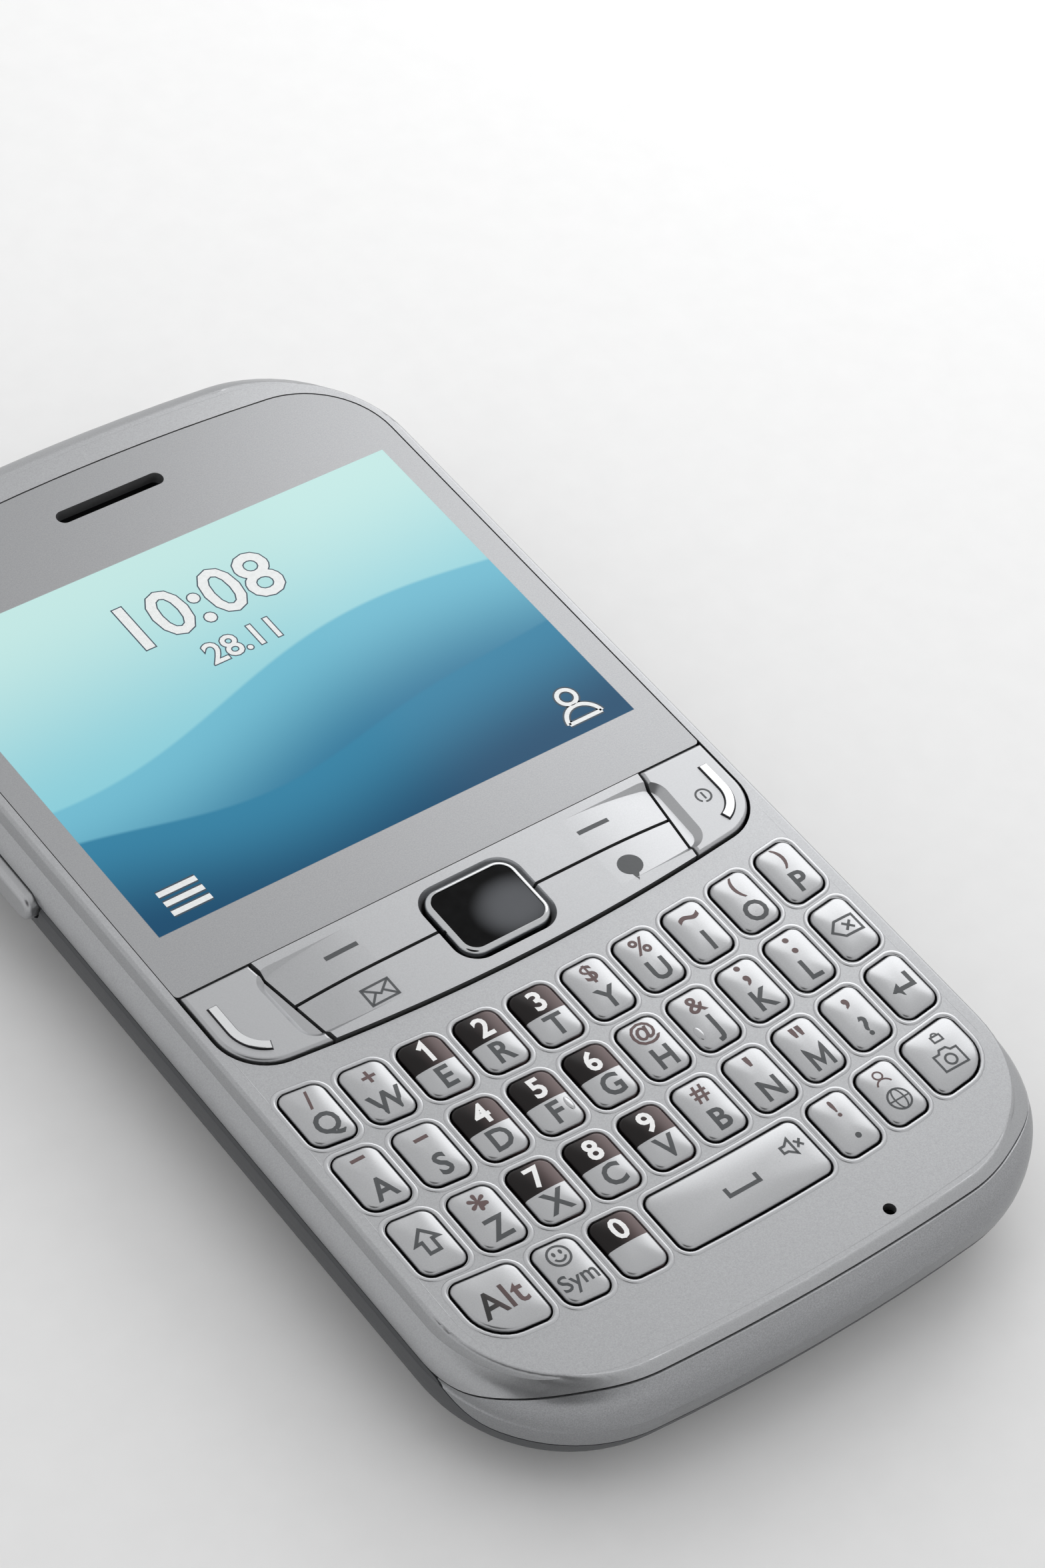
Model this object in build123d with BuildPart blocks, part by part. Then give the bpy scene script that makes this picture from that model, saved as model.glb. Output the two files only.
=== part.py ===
"""Bar phone with a letter keyboard, lying on its back with the screen up.

X runs across the phone, Y towards the earpiece and Z out of the screen. The origin is the middle
of the flat back. All sizes are in millimetres.
"""

import os

from build123d import *

os.makedirs("parts", exist_ok=True)

# Body outline
body_length = 110.0
body_width = 58.4
end_bow_radius = 198.0          # the two ends and the key rows bow on this radius
corner_radius = 14.0
back_round = 7.4
widest_height = 7.5             # the body is widest here and rounds off towards the front
shoulder_drop = 0.7             # from the flat front down to the top of the shoulder
side_shoulder = 2.7             # radius of the shoulder along the two sides
shoulder_steps = (0, 0.25, 0.45, 0.62, 0.76, 0.88, 0.96, 0.998)
front_side_inset = 1.45         # from the body outline in to the edge of the flat front
front_end_inset = 3.0           # the two ends roll off over this depth, as a quarter ellipse
front_edge_slope = 14.0         # degrees that the edge of the flat front leans outwards
front_edge_round = 0.35
housing_wall = 1.3
hollow_step = 1.0               # the hollow narrows this far under the front plate
hollow_side_inset = 2.1
hollow_end_inset = 3.6

# Parting lines, as seen from the side
seam_depth = 3.4                # below the flat front, along the straight sides
seam_gap = 0.15
bumper_reach = 14.0             # length of each end over which the parting lines spread apart
seam_lower_step = (13.0, 3.14)  # length and rise of the step in the seam at the keyboard end
seam_upper_step = (14.0, 2.2)
cover_lower_step = (7.0, -2.25)
cover_upper_step = (10.0, -3.9)
bumper_tip = 1.6                # the bumper's pointed tips stop this far short of where the lines meet
bumper_root = 2.5               # the chassis plate joins the bumper over this length inside the wall

# Stack from the back to the front
cover_wall = 1.05
stack_gap = 0.2
battery_thickness = 4.3
chassis_thickness = 0.8
board_thickness = 0.8
dome_sheet_thickness = 0.2
dome_height = 0.3
lcd_thickness = 2.6
window_thickness = 1.2
window_sink = 0.05
front_plate = 1.4

# Display window and screen
opening_side_margin = 2.3
opening_top_margin = 5.4
opening_top_radius = 8.5
opening_bottom_radius = 4.8
window_gap = 0.1
window_bottom_radius = 0.4
screen_width = 48.8
screen_top_margin = 11.4        # from the top of the opening down to the screen
screen_bottom_margin = 5.9      # from the lower edge of the window up to the screen
lcd_side_border = 0.8
lcd_end_border = 2.4
ledge_thickness = 1.25
ledge_gap = 0.35
ledge_side_inset = 1.7
ledge_end_inset = 2.9

# Keyboard
keypad_from_bottom = 23.1       # from the bottom end up to the middle of the four rows
key_pitch_x = 5.35
key_pitch_y = 7.15
key_web = 1.0
key_gap = 0.2
key_corner = 1.15
key_stand = 0.45
key_top_round = 0.5
key_flange = 0.3
key_flange_thickness = 0.45
key_travel = 0.25
plunger_radius = 0.9
dome_radius = 1.7
press_margin = 0.08
space_pitch = 16.6
bottom_pitch = 5.3
outer_key_width = 6.2
outer_key_corner = 3.0

# Navigation strip
nav_above_keys = 2.1            # from the top line of the key field up to the strip
nav_height = 11.2               # from the window down to the lowest point of the strip
bar_seam_lift = 0.1             # the seam between the two bars lies this far above the middle
nav_gap = 0.3
nav_seam = 0.3
nav_stand = 0.3
nav_edge_round = 0.3
bar_half_top = 20.0
bar_half_bottom = 18.3
trackpad_width = 9.0
trackpad_depth = 7.4
trackpad_corner = 1.7
trackpad_gap = 0.2
trackpad_stand = 0.55
trackpad_rim = 0.45
trackpad_chamfer = 0.35
trackpad_chamfer_angle = 28.0
trackpad_edge_round = 0.36
trackpad_window_thickness = 0.8
bar_plunger_reach = 13.0
recess_depth = 0.7
recess_inner_half = 11.0        # the ramps of the recess run out here
recess_top_half = 20.9
recess_bottom_half = 20.5
recess_top_gap = 1.2
recess_bottom_gap = 1.9
recess_corner = 1.8
recess_slope = 50.0             # degrees that the walls of the recess lean outwards
ridge_inset = 1.5               # from the edge of the call and end keys to the middle of the ridge
ridge_width = 1.0
ridge_height = 0.2
ridge_slope = 40.0
ridge_run = 2.8
ridge_turn = 70.0               # degrees that the ridge follows the round corner

# Side key, openings and fixings
volume_length = 17.4
volume_height = 2.5
volume_stand = 1.0
volume_gap = 0.2
volume_flange = 0.25
volume_flange_thickness = 0.5
volume_seat_gap = 0.3
volume_from_top = 34.7
volume_below_front = 4.1
mic_hole_radius = 0.55
mic_x = 8.7
mic_from_bottom = 4.4
mic_body_radius = 2.0
mic_body_height = 1.5
earpiece_slot_length = 11.0
earpiece_slot_width = 1.5
earpiece_below_top = 9.8
boss_radius = 1.6
boss_x = 21.5
boss_from_end = 7.0
screw_radius = 0.65
screw_fit = 0.05
screw_length = 3.4
screw_head_radius = 1.2
screw_head_thickness = 0.7

# Inner modules
board_inset = 2.6
board_notch_gap = 0.4
battery_width = 36.0
battery_from_bottom = 15.5
battery_from_top = 44.5
battery_gap = 0.25
bay_rib = 0.9
bay_rib_depth = 3.6
earpiece_size = (12.0, 6.0, 1.4)
speaker_size = (16.0, 12.0, 4.0)
speaker_x = 13.5
module_row_from_top = 17.5      # from the top end down to the row of modules behind the screen
speaker_slot_length = 9.0
speaker_slot_width = 1.2
speaker_slot_pitch = 2.6
speaker_slot_count = 3
camera_size = 8.6
camera_lens_radius = 3.1
camera_hole_gap = 0.3
camera_recess = 0.35
motor_radius = 4.0
motor_thickness = 2.7
motor_x = -20.0
sim_size = (27.0, 16.0, 1.3)
sim_gap = 2.6
jack_bore_radius = 1.8
jack_wall = 0.35
jack_width = 6.4
jack_length = 12.0
jack_x = -14.0
port_below_front = 4.7
jack_nose_radius = 2.2
usb_width = 7.5
usb_height = 2.5
usb_length = 5.0
usb_wall = 0.3
usb_corner = 0.8
usb_tongue = 0.7
usb_x = 12.0
port_gap = 0.2
port_set_back = 0.5             # the mouths of both sockets lie this far inside the end of the body

# Heights worked out from the stack
battery_bottom = cover_wall + stack_gap
battery_top = battery_bottom + battery_thickness
chassis_bottom = battery_top + stack_gap
chassis_top = chassis_bottom + chassis_thickness
board_top = chassis_top + board_thickness
dome_top = board_top + dome_sheet_thickness + dome_height
lcd_top = board_top + lcd_thickness
window_bottom = lcd_top + stack_gap
window_top = window_bottom + window_thickness
front_height = window_top + window_sink
plate_under = front_height - front_plate
shoulder_top = front_height - shoulder_drop
side_shoulder_start = shoulder_top - side_shoulder
hollow_neck = plate_under - hollow_step
seam_height = front_height - seam_depth
cover_edge = seam_height - seam_gap
ledge_bottom = window_bottom - ledge_thickness
flange_top = plate_under - stack_gap
flange_bottom = flange_top - key_flange_thickness
plunger_bottom = dome_top + key_travel + press_margin
key_top = front_height + key_stand
nav_top = front_height + nav_stand
trackpad_top = front_height + trackpad_stand

# Places along the phone
half_length = body_length / 2
half_width = body_width / 2
keypad_y = keypad_from_bottom - half_length
opening_top = half_length - opening_top_margin
opening_width = body_width - 2 * opening_side_margin
row_count = 4
nav_bottom = keypad_y + row_count / 2 * key_pitch_y + nav_above_keys
window_lower_edge = nav_bottom + nav_height
bar_seam_y = (nav_bottom + window_lower_edge) / 2 + bar_seam_lift
screen_bottom = window_lower_edge + screen_bottom_margin
screen_height = opening_top - screen_top_margin - screen_bottom
screen_centre_y = screen_bottom + screen_height / 2
module_row_y = half_length - module_row_from_top
mic_y = mic_from_bottom - half_length
earpiece_y = half_length - earpiece_below_top
boss_y = half_length - boss_from_end
battery_length = body_length - battery_from_bottom - battery_from_top
battery_centre_y = battery_from_bottom + battery_length / 2 - half_length
bay_top_y = battery_centre_y + battery_length / 2 + battery_gap + bay_rib
sim_y = bay_top_y + sim_gap + sim_size[1] / 2
volume_centre_y = half_length - volume_from_top
volume_z = front_height - volume_below_front
port_z = front_height - port_below_front
cut_reach = body_width            # longer than any cut needs to be across the phone
cut_height = 2 * front_height


def bow(x, radius=end_bow_radius):
    """Rise of a bowed line at x: the depth of a circle of the given radius below its tangent."""
    return radius - (radius**2 - x**2) ** 0.5


def body_outline(side_inset, end_inset):
    """Outline of the body drawn in at its sides and ends: straight sides, bowed ends and round corners."""
    side = half_width - side_inset
    end = half_length - end_inset
    shoulder = end - bow(side)
    with BuildSketch() as outline:
        with BuildLine():
            Line((-side, -shoulder), (-side, shoulder))
            ThreePointArc((-side, shoulder), (0, end), (side, shoulder))
            Line((side, shoulder), (side, -shoulder))
            ThreePointArc((side, -shoulder), (0, -end), (-side, -shoulder))
        make_face()
        fillet(outline.vertices(), corner_radius - (side_inset + end_inset) / 2)
    return outline.sketch


def even_outline(inset):
    """Outline of the body drawn in by the same amount all round."""
    return body_outline(inset, inset)


def rounding(rise, height, depth):
    """How far a quarter ellipse of the given height and depth has come in at a rise above its start."""
    part = min(max(rise, 0) / height, 1)
    return depth * (1 - (1 - part**2) ** 0.5)


def parting_line(height, lower_step, upper_step):
    """Side view of a parting line: flat along the middle, then a smooth step up or down at each end."""
    flat = half_length - bumper_reach
    end = half_length + seam_gap
    with BuildLine() as line:
        Line((-flat, height), (flat, height))
        for side, (run, rise) in ((-1, lower_step), (1, upper_step)):
            level = height + rise
            Spline((side * flat, height), (side * (flat + run), level), tangents=((side, 0), (side, 0)))
            Line((side * (flat + run), level), (side * end, level))
    return line.line


def seam_line(height):
    """Side view of the front seam."""
    return parting_line(height, seam_lower_step, seam_upper_step)


def cover_line(height):
    """Side view of the edge of the battery cover."""
    return parting_line(height, cover_lower_step, cover_upper_step)


def parting_tool(line, far):
    """Solid between a parting line and a far height, as wide as the phone and more."""
    left, *_, right = line.vertices().sort_by(Axis.X)
    with BuildPart() as tool:
        with BuildSketch(Plane.YZ):
            with BuildLine():
                add(line)
                Polyline((right.X, right.Y), (right.X, far), (left.X, far), (left.X, left.Y))
            make_face()
        extrude(amount=cut_reach, both=True)
    return tool.part


def opening_outline(inset):
    """Opening in the front for the window and the navigation strip: bowed ends and round corners."""
    side = opening_width / 2 - inset
    low = nav_bottom + inset
    high = opening_top - inset
    with BuildSketch() as opening:
        with BuildLine():
            Line((-side, low + bow(side)), (-side, high - bow(side)))
            ThreePointArc((-side, high - bow(side)), (0, high), (side, high - bow(side)))
            Line((side, high - bow(side)), (side, low + bow(side)))
            ThreePointArc((side, low + bow(side)), (0, low), (-side, low + bow(side)))
        make_face()
        fillet(opening.vertices().group_by(Axis.Y)[0], opening_bottom_radius - inset)
        fillet(opening.vertices().group_by(Axis.Y)[-1], opening_top_radius - inset)
    return opening.sketch


def key_outline(left, right, row, grow, corners):
    """Key between two X values in one row: upright sides, and ends that follow the bow of the rows."""
    middle = keypad_y + (row_count / 2 - 0.5 - row) * key_pitch_y
    half = (key_pitch_y - key_web) / 2 + grow
    x0 = left - grow
    x1 = right + grow
    xm = (x0 + x1) / 2
    with BuildSketch() as outline:
        with BuildLine():
            Line((x0, middle - half + bow(x0)), (x0, middle + half + bow(x0)))
            ThreePointArc(
                (x0, middle + half + bow(x0)), (xm, middle + half + bow(xm)), (x1, middle + half + bow(x1))
            )
            Line((x1, middle + half + bow(x1)), (x1, middle - half + bow(x1)))
            ThreePointArc(
                (x1, middle - half + bow(x1)), (xm, middle - half + bow(xm)), (x0, middle - half + bow(x0))
            )
        make_face()
        fillet(outline.vertices().sort_by(Axis.Y)[2:], key_corner + grow)
        for x, corner in ((x0, corners[0]), (x1, corners[1])):
            spot = (x, middle - half + bow(x), 0)
            fillet(outline.vertices().sort_by_distance(spot)[0], corner + grow)
    return outline.sketch


def letter_row(names, row):
    """Ten equal keys of one row, as name, left, right, row and the radii of the two lower corners."""
    half = (key_pitch_x - key_web) / 2
    keys = []
    for column, name in enumerate(names):
        centre = (column - (len(names) - 1) / 2) * key_pitch_x
        keys.append((f"key_{name}", centre - half, centre + half, row, (key_corner, key_corner)))
    return keys


def bottom_row(row):
    """Bottom row: a wide space key, two keys on each side of it, and a wider key at each end."""
    half = (bottom_pitch - key_web) / 2
    near = space_pitch / 2 + bottom_pitch / 2
    far = near + bottom_pitch
    outer = far + half + key_web
    plain = (key_corner, key_corner)
    space_half = (space_pitch - key_web) / 2
    return [
        ("key_alt", -outer - outer_key_width, -outer, row, (outer_key_corner, key_corner)),
        ("key_symbol", -far - half, -far + half, row, plain),
        ("key_zero", -near - half, -near + half, row, plain),
        ("key_space", -space_half, space_half, row, plain),
        ("key_period", near - half, near + half, row, plain),
        ("key_globe", far - half, far + half, row, plain),
        ("key_camera", outer, outer + outer_key_width, row, (key_corner, outer_key_corner)),
    ]


keys = (
    letter_row(["q", "w", "e", "r", "t", "y", "u", "i", "o", "p"], 0)
    + letter_row(["a", "s", "d", "f", "g", "h", "j", "k", "l", "backspace"], 1)
    + letter_row(["shift", "z", "x", "c", "v", "b", "n", "m", "question", "enter"], 2)
    + bottom_row(3)
)


def key_centre(left, right, row):
    """Middle of a key in X and Y."""
    x = (left + right) / 2
    return (x, keypad_y + (row_count / 2 - 0.5 - row) * key_pitch_y + bow(x))


key_centres = [key_centre(left, right, row) for _, left, right, row, _ in keys]
trackpad_centre = (0, bar_seam_y)
end_key_x = (bar_half_top + opening_width / 2) / 2
soft_y = (bar_seam_y + window_lower_edge) / 2
shortcut_y = (bar_seam_y + nav_bottom) / 2
nav_press_points = [
    (-end_key_x, soft_y),
    (end_key_x, soft_y),
    (-bar_plunger_reach, soft_y),
    (bar_plunger_reach, soft_y),
    (-bar_plunger_reach, shortcut_y),
    (bar_plunger_reach, shortcut_y),
    trackpad_centre,
]
boss_points = [(x, y) for x in (-boss_x, boss_x) for y in (-boss_y, boss_y)]


def nav_area():
    """Part of the opening below the window, with the running gap taken off."""
    with BuildSketch() as area:
        add(opening_outline(nav_gap))
        with Locations((0, window_lower_edge - nav_seam)):
            Rectangle(2 * opening_width, body_length, align=(Align.CENTER, Align.MIN), mode=Mode.SUBTRACT)
    return area.sketch


def bar_area(grow):
    """Four-sided area between the slanting seams of the call and end keys."""
    top = window_lower_edge
    low = nav_bottom - nav_gap
    with BuildSketch() as area:
        with BuildLine():
            Polyline(
                (-bar_half_top - grow, top),
                (bar_half_top + grow, top),
                (bar_half_bottom + grow, low),
                (-bar_half_bottom - grow, low),
                close=True,
            )
        make_face()
    return area.sketch


def recess_tool(side):
    """Hollow in one side of the strip: deepest at its outer wall, running out towards the middle."""
    top = window_lower_edge - recess_top_gap
    low = nav_bottom + recess_bottom_gap
    inner = side * recess_inner_half
    outer = side * recess_top_half
    corner = side * recess_bottom_half
    with BuildPart() as tool:
        with BuildSketch(Plane.XY.offset(nav_top)) as area:
            with BuildLine():
                Polyline((inner, low), (corner, low), (outer, top), (inner, top), close=True)
            make_face()
            for spot in ((corner, low), (outer, top)):
                fillet(area.vertices().sort_by_distance((*spot, nav_top))[0], recess_corner)
        extrude(amount=-recess_depth, taper=recess_slope)
        with BuildSketch(Plane.XZ):
            with BuildLine():
                TangentArc((inner, nav_top), (outer, nav_top - recess_depth), tangent=(side, 0))
                Polyline((outer, nav_top - recess_depth), (outer, nav_top), (inner, nav_top))
            make_face()
        extrude(amount=body_length, both=True, mode=Mode.INTERSECT)
    return tool.part


def ridge_path(side):
    """Middle line of a ridge: straight down beside the edge of the key, then round its corner."""
    radius = opening_bottom_radius - nav_gap - ridge_inset
    x = opening_width / 2 - nav_gap - ridge_inset - radius
    y = nav_bottom + nav_gap + bow(x) + radius + ridge_inset
    with BuildLine() as path:
        Line((side * (x + radius), y + ridge_run), (side * (x + radius), y))
        if side > 0:
            CenterArc((x, y), radius, 0, -ridge_turn)
        else:
            CenterArc((-x, y), radius, 180, ridge_turn)
    return path.line


def trackpad_outline(grow):
    """Rounded rectangle of the trackpad, grown all round."""
    with BuildSketch() as outline:
        with Locations(trackpad_centre):
            RectangleRounded(trackpad_width + 2 * grow, trackpad_depth + 2 * grow, trackpad_corner + grow)
    return outline.sketch


def box_at(x, y, low, high, width, length):
    """Upright block given by its middle in X and Y, its two heights and its size."""
    with BuildPart() as block:
        with BuildSketch(Plane.XY.offset(low)):
            with Locations((x, y)):
                Rectangle(width, length)
        extrude(amount=high - low)
    return block.part


# Outer form of the closed body: a tray with a round back, a shoulder above it and the flat front
front_rise = front_height - widest_height
with BuildPart() as shoulder:
    for step in shoulder_steps:
        level = widest_height + step * front_rise
        with BuildSketch(Plane.XY.offset(level)):
            add(
                body_outline(
                    rounding(level - side_shoulder_start, side_shoulder, side_shoulder),
                    rounding(level - widest_height, front_rise, front_end_inset),
                )
            )
    loft()

with BuildPart() as flat_front:
    with BuildSketch(Plane.XY.offset(front_height)):
        add(body_outline(front_side_inset, front_end_inset))
    extrude(amount=-front_plate, taper=-front_edge_slope)
    fillet(flat_front.edges().group_by(Axis.Z)[-1], front_edge_round)

with BuildPart() as hull:
    with BuildSketch():
        add(even_outline(0))
    extrude(amount=widest_height)
    fillet(hull.edges().group_by(Axis.Z)[0], back_round)
    add(shoulder.part)
    add(flat_front.part)

# Hollow of the closed body, narrower under the front plate
with BuildPart() as hollow:
    with BuildSketch(Plane.XY.offset(cover_wall)):
        add(even_outline(housing_wall))
    extrude(amount=hollow_neck - cover_wall)
    fillet(hollow.edges().group_by(Axis.Z)[0], back_round - housing_wall)
    with BuildSketch(Plane.XY.offset(hollow_neck)):
        add(body_outline(hollow_side_inset, hollow_end_inset))
    extrude(amount=hollow_step)

# Slot in the side wall for the volume key
with BuildPart() as volume_slot:
    with BuildSketch(Plane.YZ.offset(-half_width - volume_stand)):
        with Locations((volume_centre_y, volume_z)):
            SlotOverall(volume_length + 2 * volume_gap, volume_height + 2 * volume_gap)
    extrude(amount=housing_wall + 2 * volume_stand)

with BuildPart() as front_housing:
    add(hull.part)
    add(hollow.part, mode=Mode.SUBTRACT)
    with BuildSketch(Plane.XY.offset(ledge_bottom)):
        add(opening_outline(0))
    extrude(amount=cut_height, mode=Mode.SUBTRACT)
    with BuildSketch(Plane.XY.offset(ledge_bottom)):
        add(body_outline(ledge_side_inset, ledge_end_inset))
        with Locations((0, window_lower_edge + ledge_gap)):
            Rectangle(cut_reach, body_length, align=(Align.CENTER, Align.MIN), mode=Mode.INTERSECT)
        with Locations((0, screen_centre_y)):
            Rectangle(
                screen_width + 2 * (lcd_side_border + ledge_gap),
                screen_height + 2 * (lcd_end_border + ledge_gap),
                mode=Mode.SUBTRACT,
            )
        with Locations((0, earpiece_y)):
            SlotOverall(earpiece_slot_length, earpiece_slot_width, mode=Mode.SUBTRACT)
    extrude(amount=ledge_thickness)
    add(parting_tool(seam_line(seam_height), cut_height), mode=Mode.INTERSECT)
    for side, boss_top in ((1, window_bottom), (-1, front_height - front_plate / 2)):
        with BuildSketch(Plane.XY.offset(chassis_top)):
            with Locations((-boss_x, side * boss_y), (boss_x, side * boss_y)):
                Circle(boss_radius)
        extrude(amount=boss_top - chassis_top)
    for _, left, right, row, corners in keys:
        with BuildSketch(Plane.XY.offset(flange_top)):
            add(key_outline(left, right, row, 0, corners))
    extrude(amount=cut_height, mode=Mode.SUBTRACT)
    with BuildSketch(Plane.XY.offset(flange_top)):
        with Locations((mic_x, mic_y)):
            Circle(mic_hole_radius)
    extrude(amount=cut_height, mode=Mode.SUBTRACT)
    with BuildSketch(Plane.XY.offset(chassis_top)):
        with Locations(*boss_points):
            Circle(screw_radius + screw_fit)
    extrude(amount=screw_length, mode=Mode.SUBTRACT)
    add(volume_slot.part, mode=Mode.SUBTRACT)
front_housing.part.label = "front_housing"
export_step(front_housing.part, "parts/front_housing.step")

with BuildPart() as display_window:
    with BuildSketch(Plane.XY.offset(window_bottom)):
        add(opening_outline(window_gap))
        with Locations((0, window_lower_edge)):
            Rectangle(cut_reach, body_length, align=(Align.CENTER, Align.MIN), mode=Mode.INTERSECT)
        with Locations((0, earpiece_y)):
            SlotOverall(earpiece_slot_length, earpiece_slot_width, mode=Mode.SUBTRACT)
    extrude(amount=window_thickness)
    fillet(
        display_window.edges().filter_by(Axis.Z).group_by(Axis.Y)[0],
        window_bottom_radius,
    )
display_window.part.label = "display_window"
export_step(display_window.part, "parts/display_window.step")

for name, left, right, row, corners in keys:
    with BuildPart() as key:
        with BuildSketch(Plane.XY.offset(flange_bottom)):
            add(key_outline(left, right, row, -key_gap, corners))
        extrude(amount=key_top - flange_bottom)
        fillet(key.edges().group_by(Axis.Z)[-1], key_top_round)
        with BuildSketch(Plane.XY.offset(flange_bottom)):
            add(key_outline(left, right, row, key_flange, corners))
        extrude(amount=key_flange_thickness)
        with BuildSketch(Plane.XY.offset(plunger_bottom)):
            with Locations(key_centre(left, right, row)):
                Circle(plunger_radius)
        extrude(amount=flange_bottom - plunger_bottom)
    key.part.label = name
    export_step(key.part, f"parts/{name}.step")

# The four caps of the navigation strip share one height and the running gaps between them
side_caps = {"call_key": -1, "end_key": 1}
for name, side in side_caps.items():
    with BuildPart() as cap:
        with BuildSketch(Plane.XY.offset(flange_bottom)):
            add(nav_area())
            add(bar_area(nav_seam / 2), mode=Mode.SUBTRACT)
            with Locations((side * opening_width / 2, bar_seam_y)):
                Rectangle(opening_width, body_length, mode=Mode.INTERSECT)
        extrude(amount=nav_top - flange_bottom)
        fillet(cap.edges().group_by(Axis.Z)[-1], nav_edge_round)
        add(recess_tool(side), mode=Mode.SUBTRACT)
        with BuildSketch(Plane.XY.offset(nav_top)):
            trace(ridge_path(side), ridge_width)
        extrude(amount=ridge_height, taper=ridge_slope)
        with BuildSketch(Plane.XY.offset(plunger_bottom)):
            with Locations((side * end_key_x, soft_y)):
                Circle(plunger_radius)
        extrude(amount=flange_bottom - plunger_bottom)
    cap.part.label = name
    export_step(cap.part, f"parts/{name}.step")

bars = {"soft_key_bar": (1, soft_y), "shortcut_key_bar": (-1, shortcut_y)}
for name, (side, press_y) in bars.items():
    with BuildPart() as bar:
        with BuildSketch(Plane.XY.offset(flange_bottom)):
            add(nav_area())
            add(bar_area(-nav_seam / 2), mode=Mode.INTERSECT)
            with Locations((0, bar_seam_y + side * nav_seam / 2)):
                Rectangle(
                    cut_reach,
                    body_length,
                    align=(Align.CENTER, Align.MIN if side > 0 else Align.MAX),
                    mode=Mode.INTERSECT,
                )
            add(trackpad_outline(trackpad_gap), mode=Mode.SUBTRACT)
        extrude(amount=nav_top - flange_bottom)
        with BuildSketch(Plane.XY.offset(nav_top)):
            add(trackpad_outline(trackpad_gap + trackpad_chamfer))
        extrude(amount=-2 * trackpad_chamfer, taper=trackpad_chamfer_angle, mode=Mode.SUBTRACT)
        for end in (-1, 1):
            add(recess_tool(end), mode=Mode.SUBTRACT)
        with BuildSketch(Plane.XY.offset(plunger_bottom)):
            with Locations((-bar_plunger_reach, press_y), (bar_plunger_reach, press_y)):
                Circle(plunger_radius)
        extrude(amount=flange_bottom - plunger_bottom)
    bar.part.label = name
    export_step(bar.part, f"parts/{name}.step")

with BuildPart() as trackpad_bezel:
    with BuildSketch(Plane.XY.offset(flange_bottom)):
        add(trackpad_outline(0))
    extrude(amount=trackpad_top - flange_bottom)
    fillet(trackpad_bezel.edges().group_by(Axis.Z)[-1], trackpad_edge_round)
    with BuildSketch(Plane.XY.offset(trackpad_top)):
        add(trackpad_outline(-trackpad_rim))
    extrude(amount=-trackpad_window_thickness, mode=Mode.SUBTRACT)
    with BuildSketch(Plane.XY.offset(plunger_bottom)):
        with Locations(trackpad_centre):
            Circle(plunger_radius)
    extrude(amount=flange_bottom - plunger_bottom)
trackpad_bezel.part.label = "trackpad_bezel"
export_step(trackpad_bezel.part, "parts/trackpad_bezel.step")

with BuildPart() as trackpad_window:
    with BuildSketch(Plane.XY.offset(trackpad_top - trackpad_window_thickness)):
        add(trackpad_outline(-trackpad_rim - window_gap / 2))
    extrude(amount=trackpad_window_thickness - window_sink)
trackpad_window.part.label = "trackpad_window"
export_step(trackpad_window.part, "parts/trackpad_window.step")

wall_inside = half_width - housing_wall
with BuildPart() as volume_key:
    with BuildSketch(Plane.YZ.offset(-half_width - volume_stand)):
        with Locations((volume_centre_y, volume_z)):
            SlotOverall(volume_length, volume_height)
    extrude(amount=volume_stand + housing_wall + volume_seat_gap)
    fillet(volume_key.edges().group_by(Axis.X)[0], volume_stand / 2)
    with BuildSketch(Plane.YZ.offset(-wall_inside + volume_seat_gap)):
        with Locations((volume_centre_y, volume_z)):
            SlotOverall(volume_length + 4 * volume_flange, volume_height + 2 * volume_flange)
    extrude(amount=volume_flange_thickness)
volume_key.part.label = "volume_key"
export_step(volume_key.part, "parts/volume_key.step")

# Sockets at the top end, seen from their mouths inwards
jack_mouth_y = half_length - bow(jack_x) - port_set_back
jack_face_y = half_length - bow(abs(jack_x) + jack_width / 2) - housing_wall - port_gap
jack_depth_y = jack_face_y - jack_length / 2
jack_height = 2 * (jack_bore_radius + jack_wall)
jack_top = port_z + jack_height / 2
jack_bottom = port_z - jack_height / 2
usb_mouth_y = half_length - bow(usb_x + usb_width / 2) - port_set_back
usb_depth_y = usb_mouth_y - usb_length / 2

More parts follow.
